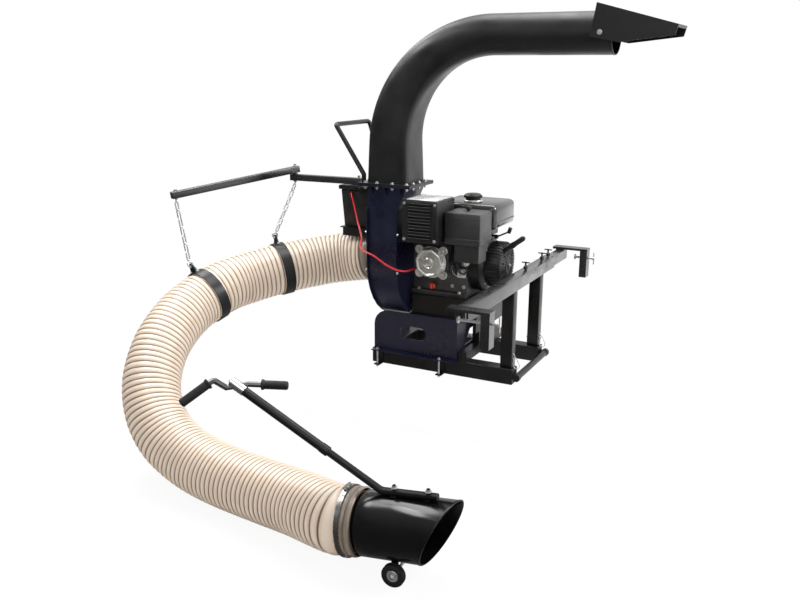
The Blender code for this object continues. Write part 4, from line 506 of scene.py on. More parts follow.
# Blow-out chute: rolled sheet that goes from a square foot through a quarter bend to a round mouth.
# It is one welded duct in black powder coat, with a flange at its foot and a bead round its mouth.
CHUTE_COAT = grained(
    "chute_powder_coat", (0.006, 0.006, 0.0064), 0.42, 1300, 0.0002,
    tone=0.2, mirror=0.4,
)
CHUTE_Y, CHUTE_LEFT, CHUTE_WIDTH, CHUTE_HALF_DEPTH, CHUTE_WALL = -0.045, -0.295, 0.183, 0.085, 0.003
BEND_RADIUS, BEND_START, CHUTE_END, MOUTH_SIZE = 0.415, 0.96, 0.665, 0.15
CHUTE_RINGS, CHUTE_SIDES = 96, 56
MOUTH_BEAD = ((0.0085, 0.0), (0.007, 0.0007), (0.004, 0.0009), (0.001, 0.0005))
bend = Vector((CHUTE_LEFT + CHUTE_WIDTH / 2 + BEND_RADIUS, CHUTE_Y, BEND_START))
rise, quarter = BEND_START - CHUTE_FOOT, BEND_RADIUS * math.pi / 2
chute_length = rise + quarter + CHUTE_END - bend.x


def chute_ring(travel, inset):
    """A ring so far along the duct: a square with soft corners that turns into a circle."""
    if travel < rise:
        centre, out = Vector((bend.x - BEND_RADIUS, CHUTE_Y, CHUTE_FOOT + travel)), -X
    elif travel < rise + quarter:
        angle = (travel - rise) / BEND_RADIUS
        out = Vector((-math.cos(angle), 0, math.sin(angle)))
        centre = bend + out * BEND_RADIUS
    else:
        out = Z
        centre = bend + Z * BEND_RADIUS + X * (travel - rise - quarter)
    share = min(1.0, travel / (rise + quarter))
    half_out, half_side = (
        half * (1 - share) + MOUTH_SIZE / 2 * share - inset for half in (CHUTE_WIDTH / 2, CHUTE_HALF_DEPTH)
    )
    power = 2 / (10 * (1 - share) ** 2 + 2)
    ring = []
    for turn in round_about(CHUTE_SIDES, 0.5):
        across, beside = (math.copysign(abs(value) ** power, value) for value in turn)
        ring.append(centre + out * half_out * across + Y * half_side * beside)
    return ring


travels = [chute_length * step / CHUTE_RINGS for step in range(CHUTE_RINGS + 1)]
outer_rings = [chute_ring(travel, 0.0) for travel in travels]
outer_rings[-1:] = [chute_ring(travels[-1] - back, -proud) for back, proud in MOUTH_BEAD] + outer_rings[-1:]
inner_rings = [chute_ring(travel, CHUTE_WALL) for travel in reversed(travels)]
lofted("chute_duct", outer_rings + inner_rings, CHUTE_COAT, ("chute",))


def rectangle(left, right, front, back, height):
    return [(left, front, height), (right, front, height), (right, back, height), (left, back, height)]


FLANGE_EDGE, FLANGE_HOLE = (-0.321, -0.086, -0.156, 0.066), (-0.293, -0.114, -0.128, 0.038)
lofted(
    "chute_flange",
    [rectangle(*FLANGE_EDGE, CHUTE_FOOT), rectangle(*FLANGE_EDGE, CHUTE_FLANGE_TOP),
     rectangle(*FLANGE_HOLE, CHUTE_FLANGE_TOP), rectangle(*FLANGE_HOLE, CHUTE_FOOT)],
    CHUTE_COAT, ("chute",),
)


# Deflector hood: folded sheet hinged on two bolts, which the operator tilts to aim the blast.
# It has the chute's coat, and the bolts stay on the chute as it tilts.
dress(CHUTE_COAT, "deflector_hood")
HOOD_BOLT_REACH = Y * 0.0832
hood_pivot = Vector((0.625, CHUTE_Y, 1.375))
bolts("hood_bolts", [(hood_pivot - HOOD_BOLT_REACH, -Y, 1.1), (hood_pivot + HOOD_BOLT_REACH, Y, 1.1)])


# Lift handle: bent round tube that stands on the chute's flange.
# It has the frame's black coat and no grip.
dress(BLACK_COAT, "lift_handle")


# Boom: two square arms on pivot bolts, stacked at the elbow, that carry the hose's weight.
# Plastic plugs close the arms' ends, and nylon-lock nuts hold the bolts.
dress(BEAM_COAT, "boom_bracket", "boom_inner", "boom_outer")
ELBOW_X, ELBOW_Y, OUTER_ARM_HALF = -0.75, 0.03, 0.0142
OUTER_END = Vector((-1.009, -0.464, 0.7443))
bolts("boom_root_nut", [((-0.43, 0.045, 0.7942), Z, 1.15)])
bolts("boom_root_head", [((-0.43, 0.045, 0.7586), -Z, 1.1)])
bolts(
    "elbow_nuts", [((ELBOW_X, ELBOW_Y, 0.7658), -Z, 1.1), ((ELBOW_X, ELBOW_Y, 0.829), Z, 1.1)],
    "inner_arm",
)
outer_along = (OUTER_END - Vector((ELBOW_X, ELBOW_Y, 0.8143))).normalized()
outer_up = outer_along.cross(Z).normalized().cross(outer_along)
half_arm = outer_up * OUTER_ARM_HALF
bolts("eye_nuts", [(OUTER_END + half_arm, outer_up), (OUTER_END - half_arm, -outer_up, 0.9)], "outer_arm")


# Chains: welded steel links, galvanised, each link turned a quarter from the last.
# The top link hangs on the boom's eye and the last one in the shackle of the hose's saddle.
GALVANISED = grained(
    "galvanised_wire", (0.52, 0.525, 0.53), 0.34, 700, 0.0001,
    metallic=0.65, tone=0.12, spread=0.08, patch=70.0,
)
LINK_LENGTH, LINK_WIRE, LINK_PLAY, LOW_POINTS = 0.041, 0.003, 0.0006, 24


def chain_link(tree, size):
    """A stadium of round wire that stands along Z, open along Y."""
    gauge = size["Wire"]
    tall, wide = (
        maths(tree, "SUBTRACT", maths(tree, "SUBTRACT", size[label], gauge), gauge)
        for label in ("Link Length", "Link Width")
    )
    outline = add(
        tree, "GeometryNodeCurvePrimitiveQuadrilateral", {"Width": wide, "Height": tall}, mode="RECTANGLE"
    )
    rounded = add(
        tree, "GeometryNodeFilletCurve",
        {"Curve": outline, "Count": 6, "Radius": maths(tree, "MULTIPLY", wide, 0.499)}, mode="POLY",
    )
    link = add(tree, "GeometryNodeCurveToMesh", {0: rounded, 1: circle(tree, 10, gauge)})
    return add(tree, "GeometryNodeTransform", {"Geometry": link, "Rotation": (math.pi / 2, 0, 0)})


LINK = repeated("chain_link", chain_link, {"Link Length": 0.04, "Link Width": 0.021, "Wire": LINK_WIRE})


def square_to(way, along):
    """The direction nearest a way that is square to another."""
    return (way - along * way.dot(along)).normalized()


def columns(first, second, third):
    return Matrix((first, second, third)).transposed()


def hung_chain(side, top):
    """Links of the node's own size, from the eye down to the shackle."""
    node = f"chain_{side}"
    points = [vertex.co.copy() for vertex in nodes[node].data.vertices]
    low = sorted(points, key=lambda point: -(point - top).length)[:LOW_POINTS]
    bottom = sum(low, Vector()) / len(low)
    total = (bottom - top).length + 0.002
    down = (bottom - top).normalized()
    beside = square_to(X, down)
    seat = 2 * LINK_WIRE + LINK_PLAY
    count = round((total - seat) / (LINK_LENGTH - seat))
    length = (total + (count - 1) * seat) / count
    places = []
    for number in range(count):
        centre = top + down * (length / 2 + (length - seat) * number)
        wide = (down.cross(beside), beside)[number % 2]
        places.append((centre, columns(wide, down.cross(wide), down)))
    set_out(
        f"chain_links_{side}", LINK, places, GALVANISED, f"{side}_chain", (node,), link_length=length
    )


hung_chain("inner", Vector((ELBOW_X, ELBOW_Y, 0.7531)))
hung_chain("outer", OUTER_END - Z * 0.0262)


# Intake hose: spiral-ribbed polyurethane, cream and slightly clear, with a tan helix in its valleys.
# One end is pushed over the fan's collar and the other over the nozzle's neck, which darken it there.
HOSE_ROUTE = (
    (-0.555, 0.115, 0.418), (-0.655, 0.045, 0.402), (-0.757, -0.085, 0.384),
    (-0.847, -0.217, 0.357), (-0.89, -0.324, 0.338), (-0.928, -0.462, 0.294),
    (-0.932, -0.584, 0.244), (-0.917, -0.701, 0.176), (-0.887, -0.79, 0.099),
    (-0.85, -0.845, 0.032), (-0.797, -0.886, -0.035), (-0.723, -0.914, -0.095),
    (-0.628, -0.93, -0.138), (-0.52, -0.945, -0.162), (-0.383, -0.964, -0.17),
    (-0.218, -0.988, -0.168), (-0.06, -1.017, -0.16),
)
HOSE_RIBS, HOSE_SIDES, RINGS_TO_A_RIB = 118, 56, 7
HOSE_END_SHARE, HOSE_STEPS, FINE_STEPS = 0.0002, 401, 24


def heading(yaw, pitch):
    """The direction at two angles in degrees: round from X, and up."""
    yaw, pitch = math.radians(yaw), math.radians(pitch)
    return Vector((math.cos(yaw) * math.cos(pitch), math.sin(yaw) * math.cos(pitch), math.sin(pitch)))


NOZZLE_START, NOZZLE_ALONG = Vector((0.213, -1.06, -0.137)), heading(4, 5)
collar_face, collar_along = Vector((INTAKE_X, SHAFT_Y, SHAFT_Z)), -heading(0, 9.5)


def smooth_route(points, count):
    """Points at equal steps along the smooth curve through the given ones."""
    points = [Vector(point) for point in points]
    ends = [points[0] * 2 - points[1], *points, points[-1] * 2 - points[-2]]
    fine = []
    for before, start, end, after in zip(ends, ends[1:], ends[2:], ends[3:]):
        for step in range(FINE_STEPS):
            t = step / FINE_STEPS
            arch = 2 * before - 5 * start + 4 * end - after
            twist = 3 * start - before - 3 * end + after
            fine.append((2 * start + (end - before) * t + arch * t * t + twist * t ** 3) / 2)
    fine.append(points[-1])
    lengths = [0.0]
    for first, second in zip(fine, fine[1:]):
        lengths.append(lengths[-1] + (second - first).length)
    route, place_at = [], 0
    for step in range(count):
        target = lengths[-1] * step / (count - 1)
        while place_at < len(fine) - 2 and lengths[place_at + 1] < target:
            place_at += 1
        span = lengths[place_at + 1] - lengths[place_at]
        share = (target - lengths[place_at]) / span if span else 0.0
        route.append(fine[place_at].lerp(fine[place_at + 1], share))
    return route


hose_knots = [collar_face + collar_along * reach for reach in (0.045, 0.1, 0.155)]
hose_knots += [Vector(point) for point in HOSE_ROUTE]
hose_knots += [NOZZLE_START - NOZZLE_ALONG * reach for reach in (0.1, 0.05, 0.0)]
hose_line = smooth_route(hose_knots, HOSE_STEPS)


def helix_turns(tree, along, around, ribs):
    """How many turns of the helix lie before a place, from its share of the length and its side."""
    sides = add(tree, "ShaderNodeSeparateXYZ", {0: around})
    lead = maths(tree, "DIVIDE", maths(tree, "ARCTAN2", sides.outputs[1], sides.outputs[0]), math.tau)
    return maths(tree, "ADD", maths(tree, "MULTIPLY", along, ribs), lead)


def ribbed_hose():
    """Outer wall swept along the line and swollen between the turns of its helix, with a plain bore."""
    tree, start = group(
        "ribbed_hose",
        {"Valley Radius": 0.1062, "Rib Height": 0.0052, "Bore Radius": 0.0985, "Ribs": HOSE_RIBS},
    )
    size = start.outputs
    valley, bore_radius = size["Valley Radius"], size["Bore Radius"]
    here = add(tree, "GeometryNodeInputPosition")
    share = add(tree, "GeometryNodeSplineParameter").outputs["Factor"]

    def store(geometry, name, value, kind):
        return add(
            tree, "GeometryNodeStoreNamedAttribute", {0: geometry, "Name": name, "Value": value},
            data_type=kind, domain="POINT",
        )

    def off_end(along):
        return maths(tree, "MINIMUM", along, maths(tree, "SUBTRACT", 1.0, along))

    def vectors(operation, inputs):
        return add(tree, "ShaderNodeVectorMath", inputs, operation=operation)

    upright = add(tree, "GeometryNodeSetCurveNormal", {0: start}, mode="Z_UP")
    fine = add(
        tree, "GeometryNodeResampleCurve", {"Curve": upright, "Count": HOSE_RIBS * RINGS_TO_A_RIB + 1}
    )
    is_end = maths(tree, "LESS_THAN", off_end(share), HOSE_END_SHARE)
    shrink = maths(tree, "DIVIDE", bore_radius, valley)
    radius = add(tree, "ShaderNodeMix", {0: is_end, 2: 1.0, 3: shrink}, data_type="FLOAT")
    sized = add(tree, "GeometryNodeSetCurveRadius", {0: fine, "Radius": radius})
    middle = store(store(sized, "along", share, "FLOAT"), "middle", here, "FLOAT_VECTOR")
    ring = store(circle(tree, HOSE_SIDES, valley), "round", here, "FLOAT_VECTOR")
    wall = add(tree, "GeometryNodeCurveToMesh", {0: middle, 1: ring})
    along = read(tree, "along", "FLOAT")
    turns = helix_turns(tree, along, read(tree, "round", "FLOAT_VECTOR"), size["Ribs"])
    wave = maths(tree, "ABSOLUTE", maths(tree, "SINE", maths(tree, "MULTIPLY", turns, math.pi)))
    swell = maths(tree, "MULTIPLY", maths(tree, "POWER", wave, 0.62), size["Rib Height"])
    within = maths(tree, "GREATER_THAN", off_end(along.outputs[0]), HOSE_END_SHARE)
    off_middle = vectors("SUBTRACT", {0: here, 1: read(tree, "middle", "FLOAT_VECTOR")})
    outward = vectors("NORMALIZE", {0: off_middle})
    push = vectors("SCALE", {0: outward, "Scale": maths(tree, "MULTIPLY", swell, within)})
    swollen = add(tree, "GeometryNodeSetPosition", {"Geometry": wall, "Offset": push})
    coarse = add(tree, "GeometryNodeResampleCurve", {"Curve": upright, "Count": HOSE_RIBS})
    plain = add(tree, "GeometryNodeSetCurveRadius", {0: coarse, "Radius": 1.0})
    plain = store(plain, "along", share, "FLOAT")
    bore = add(tree, "GeometryNodeCurveToMesh", {0: plain, 1: circle(tree, HOSE_SIDES, bore_radius)})
    whole = joined(tree, swollen, add(tree, "GeometryNodeFlipFaces", {0: bore}))
    weld = add(tree, "GeometryNodeMergeByDistance", {0: whole, "Distance": 0.0004})
    soft = add(tree, "GeometryNodeSetShadeSmooth", {0: weld, 2: True}, domain="FACE")
    return close(tree, start, soft)


def hose_material():
    """Cream between the turns of a dark helix, with painted shade in the valleys and a painted highlight on
    the crests, cloudy, and darker where metal lies inside.
    """
    made, tree, shader = finish("ribbed_polyurethane", (0.74, 0.6, 0.46), 0.34)
    soft = {"interpolation_type": "SMOOTHSTEP"}
    along = add(tree, "ShaderNodeAttribute", attribute_name="along").outputs["Fac"]
    around = add(tree, "ShaderNodeAttribute", attribute_name="round").outputs["Vector"]
    place = add(tree, "ShaderNodeTexCoord").outputs["Object"]
    off_line = maths(tree, "PINGPONG", helix_turns(tree, along, around, HOSE_RIBS), 0.5)
    line = ranged(tree, off_line, 0.055, 0.135, 1.0, 0.0, **soft)
    # Painted shade and highlight of the ribs: the wall is tinted darker towards the helix's valleys and
    # lighter on the crests.
    painted_rib_shade = ranged(tree, off_line, 0.1, 0.45, **soft)
    noise = add(tree, "ShaderNodeTexNoise", {"Vector": place, "Scale": 14.0, "Detail": 3.0})
    clouds = ranged(tree, noise, 0.35, 0.7, 0.0, 0.35)
    off_end = maths(
        tree, "MINIMUM", maths(tree, "MULTIPLY", along, 0.46), maths(tree, "SUBTRACT", 1.0, along)
    )
    over_metal = ranged(tree, off_end, 0.016, 0.021, 1.0, 0.0, **soft)
    body = tinted(tree, painted_rib_shade, (0.54, 0.43, 0.335), (0.66, 0.555, 0.455))
    body = tinted(tree, clouds, body, (0.52, 0.415, 0.325))
    body = tinted(tree, maths(tree, "MULTIPLY", line, 0.92), body, (0.105, 0.066, 0.04))
    body = tinted(tree, maths(tree, "MULTIPLY", over_metal, 0.8), body, (0.085, 0.064, 0.048))
    tree.links.new(body, shader.inputs["Base Color"])
    relief(tree, shader, place, 260.0, 0.25, 0.0004)
    for label, value in (
        ("Subsurface Weight", 0.12), ("Subsurface Radius", (0.02, 0.012, 0.008)),
        ("Coat Weight", 0.15), ("Coat Roughness", 0.22),
    ):
        shader.inputs[label].default_value = value
    return made


HOSE_FINISH = hose_material()
hose = stand("ribbed_hose_wall", drawn("ribbed_hose_wall", hose_line, 0.0, 0, False)[0])
fit(grow(hose, ribbed_hose(), HOSE_FINISH, {}), replaced=("intake_hose",))


# Hose clamps: stainless band drawn tight by a worm screw in its housing, one at each end.
# The housing sits on top of the hose and its screw lies across.
STAINLESS = grained(
    "stainless_band", (0.3, 0.295, 0.285), 0.28, 420, 0.00008,
    metallic=1.0, tone=0.1, spread=0.06, patch=80.0,
)
dress(STAINLESS, "hose_clamp_intake", "hose_clamp_nozzle")


def hose_frame(near):
    """Centre of the hose nearest a point, its direction there and the side that looks up."""
    index = min(range(HOSE_STEPS), key=lambda at: (hose_line[at] - near).length)
    along = (hose_line[min(index + 1, HOSE_STEPS - 1)] - hose_line[max(index - 1, 0)]).normalized()
    return hose_line[index], along, square_to(Z, along)


def turn_to(first, second, third, place):
    """The turn that lays X, Y and Z on the given directions, at the place."""
    turn = columns(first, second, third).to_4x4()
    turn.translation = place
    return turn


for side in ("intake", "nozzle"):
    low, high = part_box(f"hose_clamp_{side}")
    centre, along, over = hose_frame((Vector(low) + Vector(high)) / 2 - Z * 0.004)
    across = along.cross(over)
    slab(
        f"clamp_housing_{side}", (-0.0085, -0.013, 0.113), (0.0085, 0.013, 0.1215), STAINLESS, 0.0012,
        turn_to(along, across, over, centre),
    )
    bolts(f"clamp_head_{side}", [(centre + over * 0.1185 + across * 0.017, across, 0.75)])


# Saddles: bent steel straps that carry the hose, with a welded lug, a clamp bolt and a shackle.
# The lug's ear is a plate with a round top.
dress(BLACK_COAT, "hose_saddle_inner", "hose_saddle_outer")
STRAP_OUTSIDE, EAR_HALF, EAR_RADIUS, EAR_HEIGHT, SHACKLE_RADIUS = 0.1169, 0.029, 0.015, 0.023, 0.011
EAR_FACES, SHACKLE_HEIGHT, SADDLE_BOLT_ASIDE = (-0.0036, -0.0032, 0.0032, 0.0036), 0.035, 0.026
for side, middle, lean in (("inner", (-0.757, -0.085, 0.384), 8), ("outer", (-0.915, -0.405, 0.315), 22)):
    centre, along, over = hose_frame(Vector(middle))
    over = Matrix.Rotation(math.radians(lean), 3, along) @ over
    across = along.cross(over)
    foot = centre + over * STRAP_OUTSIDE
    outline = [(-EAR_HALF, -0.002)]
    for step in range(13):
        across_by, up = polar(math.pi * step / 12, EAR_RADIUS)
        outline.append((-across_by, EAR_HEIGHT + up))
    outline.append((EAR_HALF, -0.002))
    plate = [[foot + across * a + over * u + along * face for a, u in outline] for face in EAR_FACES]
    lofted(f"saddle_ear_{side}", plate, BLACK_COAT, sharp=30, capped=True)
    bolts(f"ear_bolt_{side}", [(foot + over * 0.024 + along * 0.0038, along, 0.8)])
    places = []
    for aside in (-SADDLE_BOLT_ASIDE, SADDLE_BOLT_ASIDE):
        out = (over * STRAP_OUTSIDE + across * aside).normalized()
        places.append((centre + out * STRAP_OUTSIDE, out))
    bolts(f"saddle_bolts_{side}", places)
    eye = centre + over * (STRAP_OUTSIDE + SHACKLE_HEIGHT)
    shackle = [eye + (over * up + along * ahead) * SHACKLE_RADIUS for ahead, up in round_about(8)]
    wire(f"shackle_{side}", shackle, 0.0036, GALVANISED, sides=4, closed=True)


# Nozzle: steel tube rolled and seam-welded, gloss black, with a slanted mouth whose edge is rolled
# over. Its neck goes inside the hose, and two welded lugs below hold the axle.
GLOSS_COAT = grained(
    "gloss_black_coat", (0.004, 0.004, 0.0044), 0.18, 700, 0.00012,
    tone=0.15, spread=0.05, mirror=0.3,
)
NOZZLE_RADIUS, NECK_RADIUS, NOZZLE_WALL, NOZZLE_SIDES = 0.104, 0.0915, 0.003, 80
MOUTH_MIDDLE, MOUTH_HALF, MOUTH_TURN = 0.265, 0.053, math.radians(-22.5)
NOZZLE_UP = square_to(Z, NOZZLE_ALONG)
NOZZLE_SIDE = NOZZLE_ALONG.cross(NOZZLE_UP)
NOZZLE_TURN = turn_to(NOZZLE_UP, NOZZLE_SIDE, NOZZLE_ALONG, NOZZLE_START)
BORE_RADIUS, NECK_BORE = NOZZLE_RADIUS - NOZZLE_WALL, NECK_RADIUS - NOZZLE_WALL
# Each ring is its radius and its place along the nozzle, or for the mouth how far it lies behind it.
SHELL_RINGS = (
    (NECK_BORE, -0.048), (NECK_RADIUS, -0.048), (NECK_RADIUS, 0.0003), (NECK_RADIUS + 0.004, 0.0018),
    (NOZZLE_RADIUS - 0.003, 0.0085), (NOZZLE_RADIUS, 0.0125), (NOZZLE_RADIUS, 0.06),
    (NOZZLE_RADIUS, 0.12), (NOZZLE_RADIUS, None, 0.008), (NOZZLE_RADIUS + 0.0013, None, 0.0065),
    (NOZZLE_RADIUS + 0.0018, None, 0.004), (NOZZLE_RADIUS + 0.0013, None, 0.0015),
    (NOZZLE_RADIUS, None, 0.0), (BORE_RADIUS, None, 0.0005), (BORE_RADIUS, None, 0.004),
    (BORE_RADIUS, 0.12), (BORE_RADIUS, 0.015), (NECK_BORE, 0.003),
)


def nozzle_ring(radius, along, short=0.0):
    """A ring across the nozzle, or along its slanted mouth and so much short of it."""
    ring = []
    for step in range(NOZZLE_SIDES):
        angle = math.tau * step / NOZZLE_SIDES
        reach = along
        if along is None:
            slant = MOUTH_HALF * math.cos(angle - MOUTH_TURN) * radius / NOZZLE_RADIUS
            reach = MOUTH_MIDDLE + slant - short
        ring.append(NOZZLE_TURN @ Vector((*polar(angle, radius), reach)))
    return ring


lofted("nozzle_shell", [nozzle_ring(*ring) for ring in SHELL_RINGS], GLOSS_COAT, ("nozzle",))
FLOOR, WHEEL_ALONG, WHEEL_RADIUS, WHEEL_TRACK, WHEEL_WIDTH = -0.285, 0.126, 0.038, 0.152, 0.024
LUG_HALF, LUG_SHEET = 0.012, 0.004
axle_down = (FLOOR + WHEEL_RADIUS - (NOZZLE_START + NOZZLE_ALONG * WHEEL_ALONG).z) / NOZZLE_UP.z
lug_reach = WHEEL_TRACK / 2 - WHEEL_WIDTH / 2 - 0.008
for number, across in enumerate((lug_reach, -lug_reach - LUG_SHEET), 1):
    slab(
        f"axle_lug_{number}", (axle_down - 0.009, across, WHEEL_ALONG - LUG_HALF),
        (-NOZZLE_RADIUS * 0.82, across + LUG_SHEET, WHEEL_ALONG + LUG_HALF), GLOSS_COAT, 0.0012,
        NOZZLE_TURN, replaced=("nozzle",),
    )


def turned(name, profile, start, direction, material, steps=48, body="machine", replaced=()):
    """A profile of (radius, height) pairs, spun round the direction; a profile off the axis is a ring."""
    direction = Vector(direction).normalized()
    first = square_to(X if abs(direction.x) < 0.9 else Y, direction)
    second = direction.cross(first)
    shape = bmesh.new()
    start = Vector(start)
    rows = []
    for across, beside in round_about(steps):
        out = first * across + second * beside
        rows.append([
            None if radius == 0 else shape.verts.new(start + out * radius + direction * height)
            for radius, height in profile
        ])
    poles = {
        index: shape.verts.new(start + direction * height)
        for index, (radius, height) in enumerate(profile) if radius == 0
    }
    count = len(profile)
    for row, after in zip(rows, rows[1:] + rows[:1]):
        for index in range(count - 1 if poles else count):
            upper = (index + 1) % count
            corners = [
                row[index] or poles[index], after[index] or poles[index],
                after[upper] or poles[upper], row[upper] or poles[upper],
            ]
            shape.faces.new(list(dict.fromkeys(corners)))
    bmesh.ops.recalc_face_normals(shape, faces=shape.faces[:])
    return fit(skinned(name, shape, material, 35), body, replaced)


def mirrored(profile):
    """The profile and the same again on the other side of the wheels' middle."""
    return profile + [(radius, -height) for radius, height in reversed(profile)]


axle_middle = NOZZLE_TURN @ Vector((axle_down, 0, WHEEL_ALONG))
reach = WHEEL_TRACK / 2 + WHEEL_WIDTH / 2 + 0.008
axle_end = [(0, reach), (0.003, reach), (0.0042, reach - 0.0012), (0.005, reach - 0.0045)]
turned("axle_rod", mirrored(axle_end), axle_middle, NOZZLE_SIDE, ZINC, 24, replaced=("nozzle",))


# Wheels: solid black rubber on a bright pressed hub, which turn on the nozzle's axle.
# A washer and a domed cap keep each wheel on.
RUBBER_COAT = grained(
    "black_rubber", (0.0085, 0.0085, 0.0085), 0.6, 900, 0.0003, tone=0.3, mirror=0.3
)
half, rim = WHEEL_WIDTH / 2, WHEEL_RADIUS
tread = [(rim - 0.0045, half), (rim - 0.0015, half - 0.0015), (rim, half - 0.0045),
         (rim, 0.0022), (rim - 0.0012, 0.0014)]
seat = [(0.0215, -half), (0.0195, 0.0015 - half)]
hub = [(0.0197, half - 0.003), (0.018, half - 0.0014), (0.013, half - 0.0026),
       (0.0085, half - 0.001), (0.008, half + 0.0018), (0.0053, half + 0.002)]
for side, sign in (("near", -1), ("far", 1)):
    centre = axle_middle + NOZZLE_SIDE * (WHEEL_TRACK / 2) * sign
    end = axle_middle + NOZZLE_SIDE * (WHEEL_TRACK / 2 + WHEEL_WIDTH / 2 + 0.0028) * sign
    wheel = {"body": f"{side}_wheel", "replaced": (f"wheel_{side}",)}
    turned(f"tyre_{side}", mirrored(tread) + mirrored(seat), centre, NOZZLE_SIDE, RUBBER_COAT, 60, **wheel)
    turned(f"hub_{side}", mirrored(hub), centre, NOZZLE_SIDE, ZINC, 48, **wheel)
    turned(
        f"axle_cap_{side}",
        [(0.0052, 0.0), (0.0092, 0.0), (0.0092, 0.001), (0.008, 0.0032), (0.0052, 0.0046)],
        end, NOZZLE_SIDE * sign, ZINC, 32, replaced=("nozzle",),
    )


# Poles: bent lower tube, bolted along the nozzle's top through two straps, and the sleeve that
# slides over it. Both are black powder coat, and the bolts' heads are bright.
dress(BLACK_COAT, "pole_lower", "pole_upper")
POLE_RADIUS, POLE_START, POLE_BOLT_PLACES = 0.0125, 0.072, (0.117, 0.23)
pole_height = NOZZLE_RADIUS + POLE_RADIUS + 0.0003
pole_top = pole_height + POLE_RADIUS + 0.001
pole_bolts = [NOZZLE_TURN @ Vector((pole_top, 0, along)) for along in POLE_BOLT_PLACES]
bolts("pole_bolts", [(place, NOZZLE_UP, 1.25) for place in pole_bolts])


# Handlebar: bent black tube that turns in a chromed fitting on the sleeve's end.
# Its grips are ribbed rubber with a collar on the inner end.
CHROME = finish("chrome_plate", (0.72, 0.72, 0.72), 0.09, 1.0)[0]
dress(CHROME, "bar_fitting")
dress(BEAM_COAT, "handlebar")
POLE_TOP = Vector((-0.195, -1.11, 0.248))
BAR_LEFT, BAR_RIGHT = Vector((-0.326, -1.26, 0.235)), Vector((-0.082, -1.035, 0.262))
GRIP_SETBACK, RIB_PITCH, PLAIN_ENDS = 0.004, 0.0042, 0.022
pole_up = (POLE_TOP - NOZZLE_TURN @ Vector((pole_height, 0, POLE_START))).normalized()
bar_middle = POLE_TOP + pole_up * 0.0303
half_fitting = (BAR_RIGHT - BAR_LEFT).normalized() * 0.035
left_knee = BAR_LEFT.lerp(bar_middle - half_fitting, 0.72) + Z * 0.04
right_knee = BAR_RIGHT.lerp(bar_middle + half_fitting, 0.72)
for side, end, knee in (("left", BAR_LEFT, left_knee), ("right", BAR_RIGHT, right_knee)):
    toward = (knee - end).normalized()
    node = f"grip_{side}"
    length = max((vertex.co - end).dot(toward) for vertex in nodes[node].data.vertices) + GRIP_SETBACK
    profile = [(0, 0), (0.0085, 0.0), (0.0118, 0.0012), (0.0138, 0.004), (0.0142, 0.007)]
    ribs = int((length - PLAIN_ENDS) / RIB_PITCH)
    for rib in range(ribs):
        base = 0.008 + rib * (length - PLAIN_ENDS) / ribs
        profile += [(0.014, base), (0.0147, base + 0.001), (0.0147, base + 0.0026), (0.014, base + 0.0034)]
    profile += [(0.0142, length - 0.012), (0.0172, length - 0.006), (0.0178, length - 0.0035),
                (0.0174, length - 0.0008), (0.016, length), (0.0104, length), (0.0104, 0.0045), (0, 0.0045)]
    turned(
        f"ribbed_grip_{side}", profile, end - toward * GRIP_SETBACK, toward, RUBBER_COAT, 40, "bar", (node,)
    )
bolts("fitting_bolt", [(POLE_TOP + pole_up * 0.0545, pole_up)], "bar")


# Battery: moulded polypropylene box on a folded shelf, with a lid that a strap holds down.
# The red cable feeds the engine's electric starter, and is soft stranded copper in PVC.
MOULDED = grained(
    "moulded_black", (0.009, 0.009, 0.0095), 0.46, 1500, 0.0003, tone=0.2, mirror=0.38
)
dress(BLACK_COAT, "battery_shelf")
dress(MOULDED, "battery_box", "battery_lid")
CABLE_ROUTE = (
    (-0.463, 0.0498, 0.728), (-0.463, 0.034, 0.728), (-0.452, 0.022, 0.712), (-0.435, 0.01, 0.68),
    (-0.4, -0.02, 0.612), (-0.362, -0.058, 0.566), (-0.342, -0.095, 0.545),
    (-0.322, -0.135, 0.532), (-0.29, -0.163, 0.524), (-0.24, -0.172, 0.511),
    (-0.177, -0.178, 0.48), (-0.133, -0.166, 0.461), (-0.111, -0.135, 0.453),
    (-0.107, -0.095, 0.451), (-0.107, -0.04, 0.45), (-0.107, 0.0194, 0.45),
)
CABLE_RED = grained(
    "red_cable_jacket", (0.52, 0.012, 0.022), 0.34, 600, 0.0001, tone=0.12, spread=0.06
)
cable_points = smooth_route(CABLE_ROUTE, 120)
cable_line, cable_spline = drawn("starter_cable", cable_points, 0.004, 5, False)
cable_spline.use_smooth = True
cable_line.materials.append(CABLE_RED)
starter_cable = fit(stand("starter_cable", cable_line), replaced=("battery_cable",))


# Engine block: die-cast aluminium crankcase on the deck, and the finned cylinder that points forward.
# The castings are rough, and their tone and gloss vary in soft patches.
CAST = grained(
    "cast_aluminium", (0.115, 0.115, 0.118), 0.48, 800, 0.0005,
    metallic=0.85, patch=14.0,
)
dress(CAST, "crankcase", "cylinder")
FOOT_TOP = 0.3463
bolts(
    "engine_feet_bolts", [((x, y, FOOT_TOP), Z, 1.1) for x in (-0.12, 0.065) for y in (0.0125, 0.275)]
)


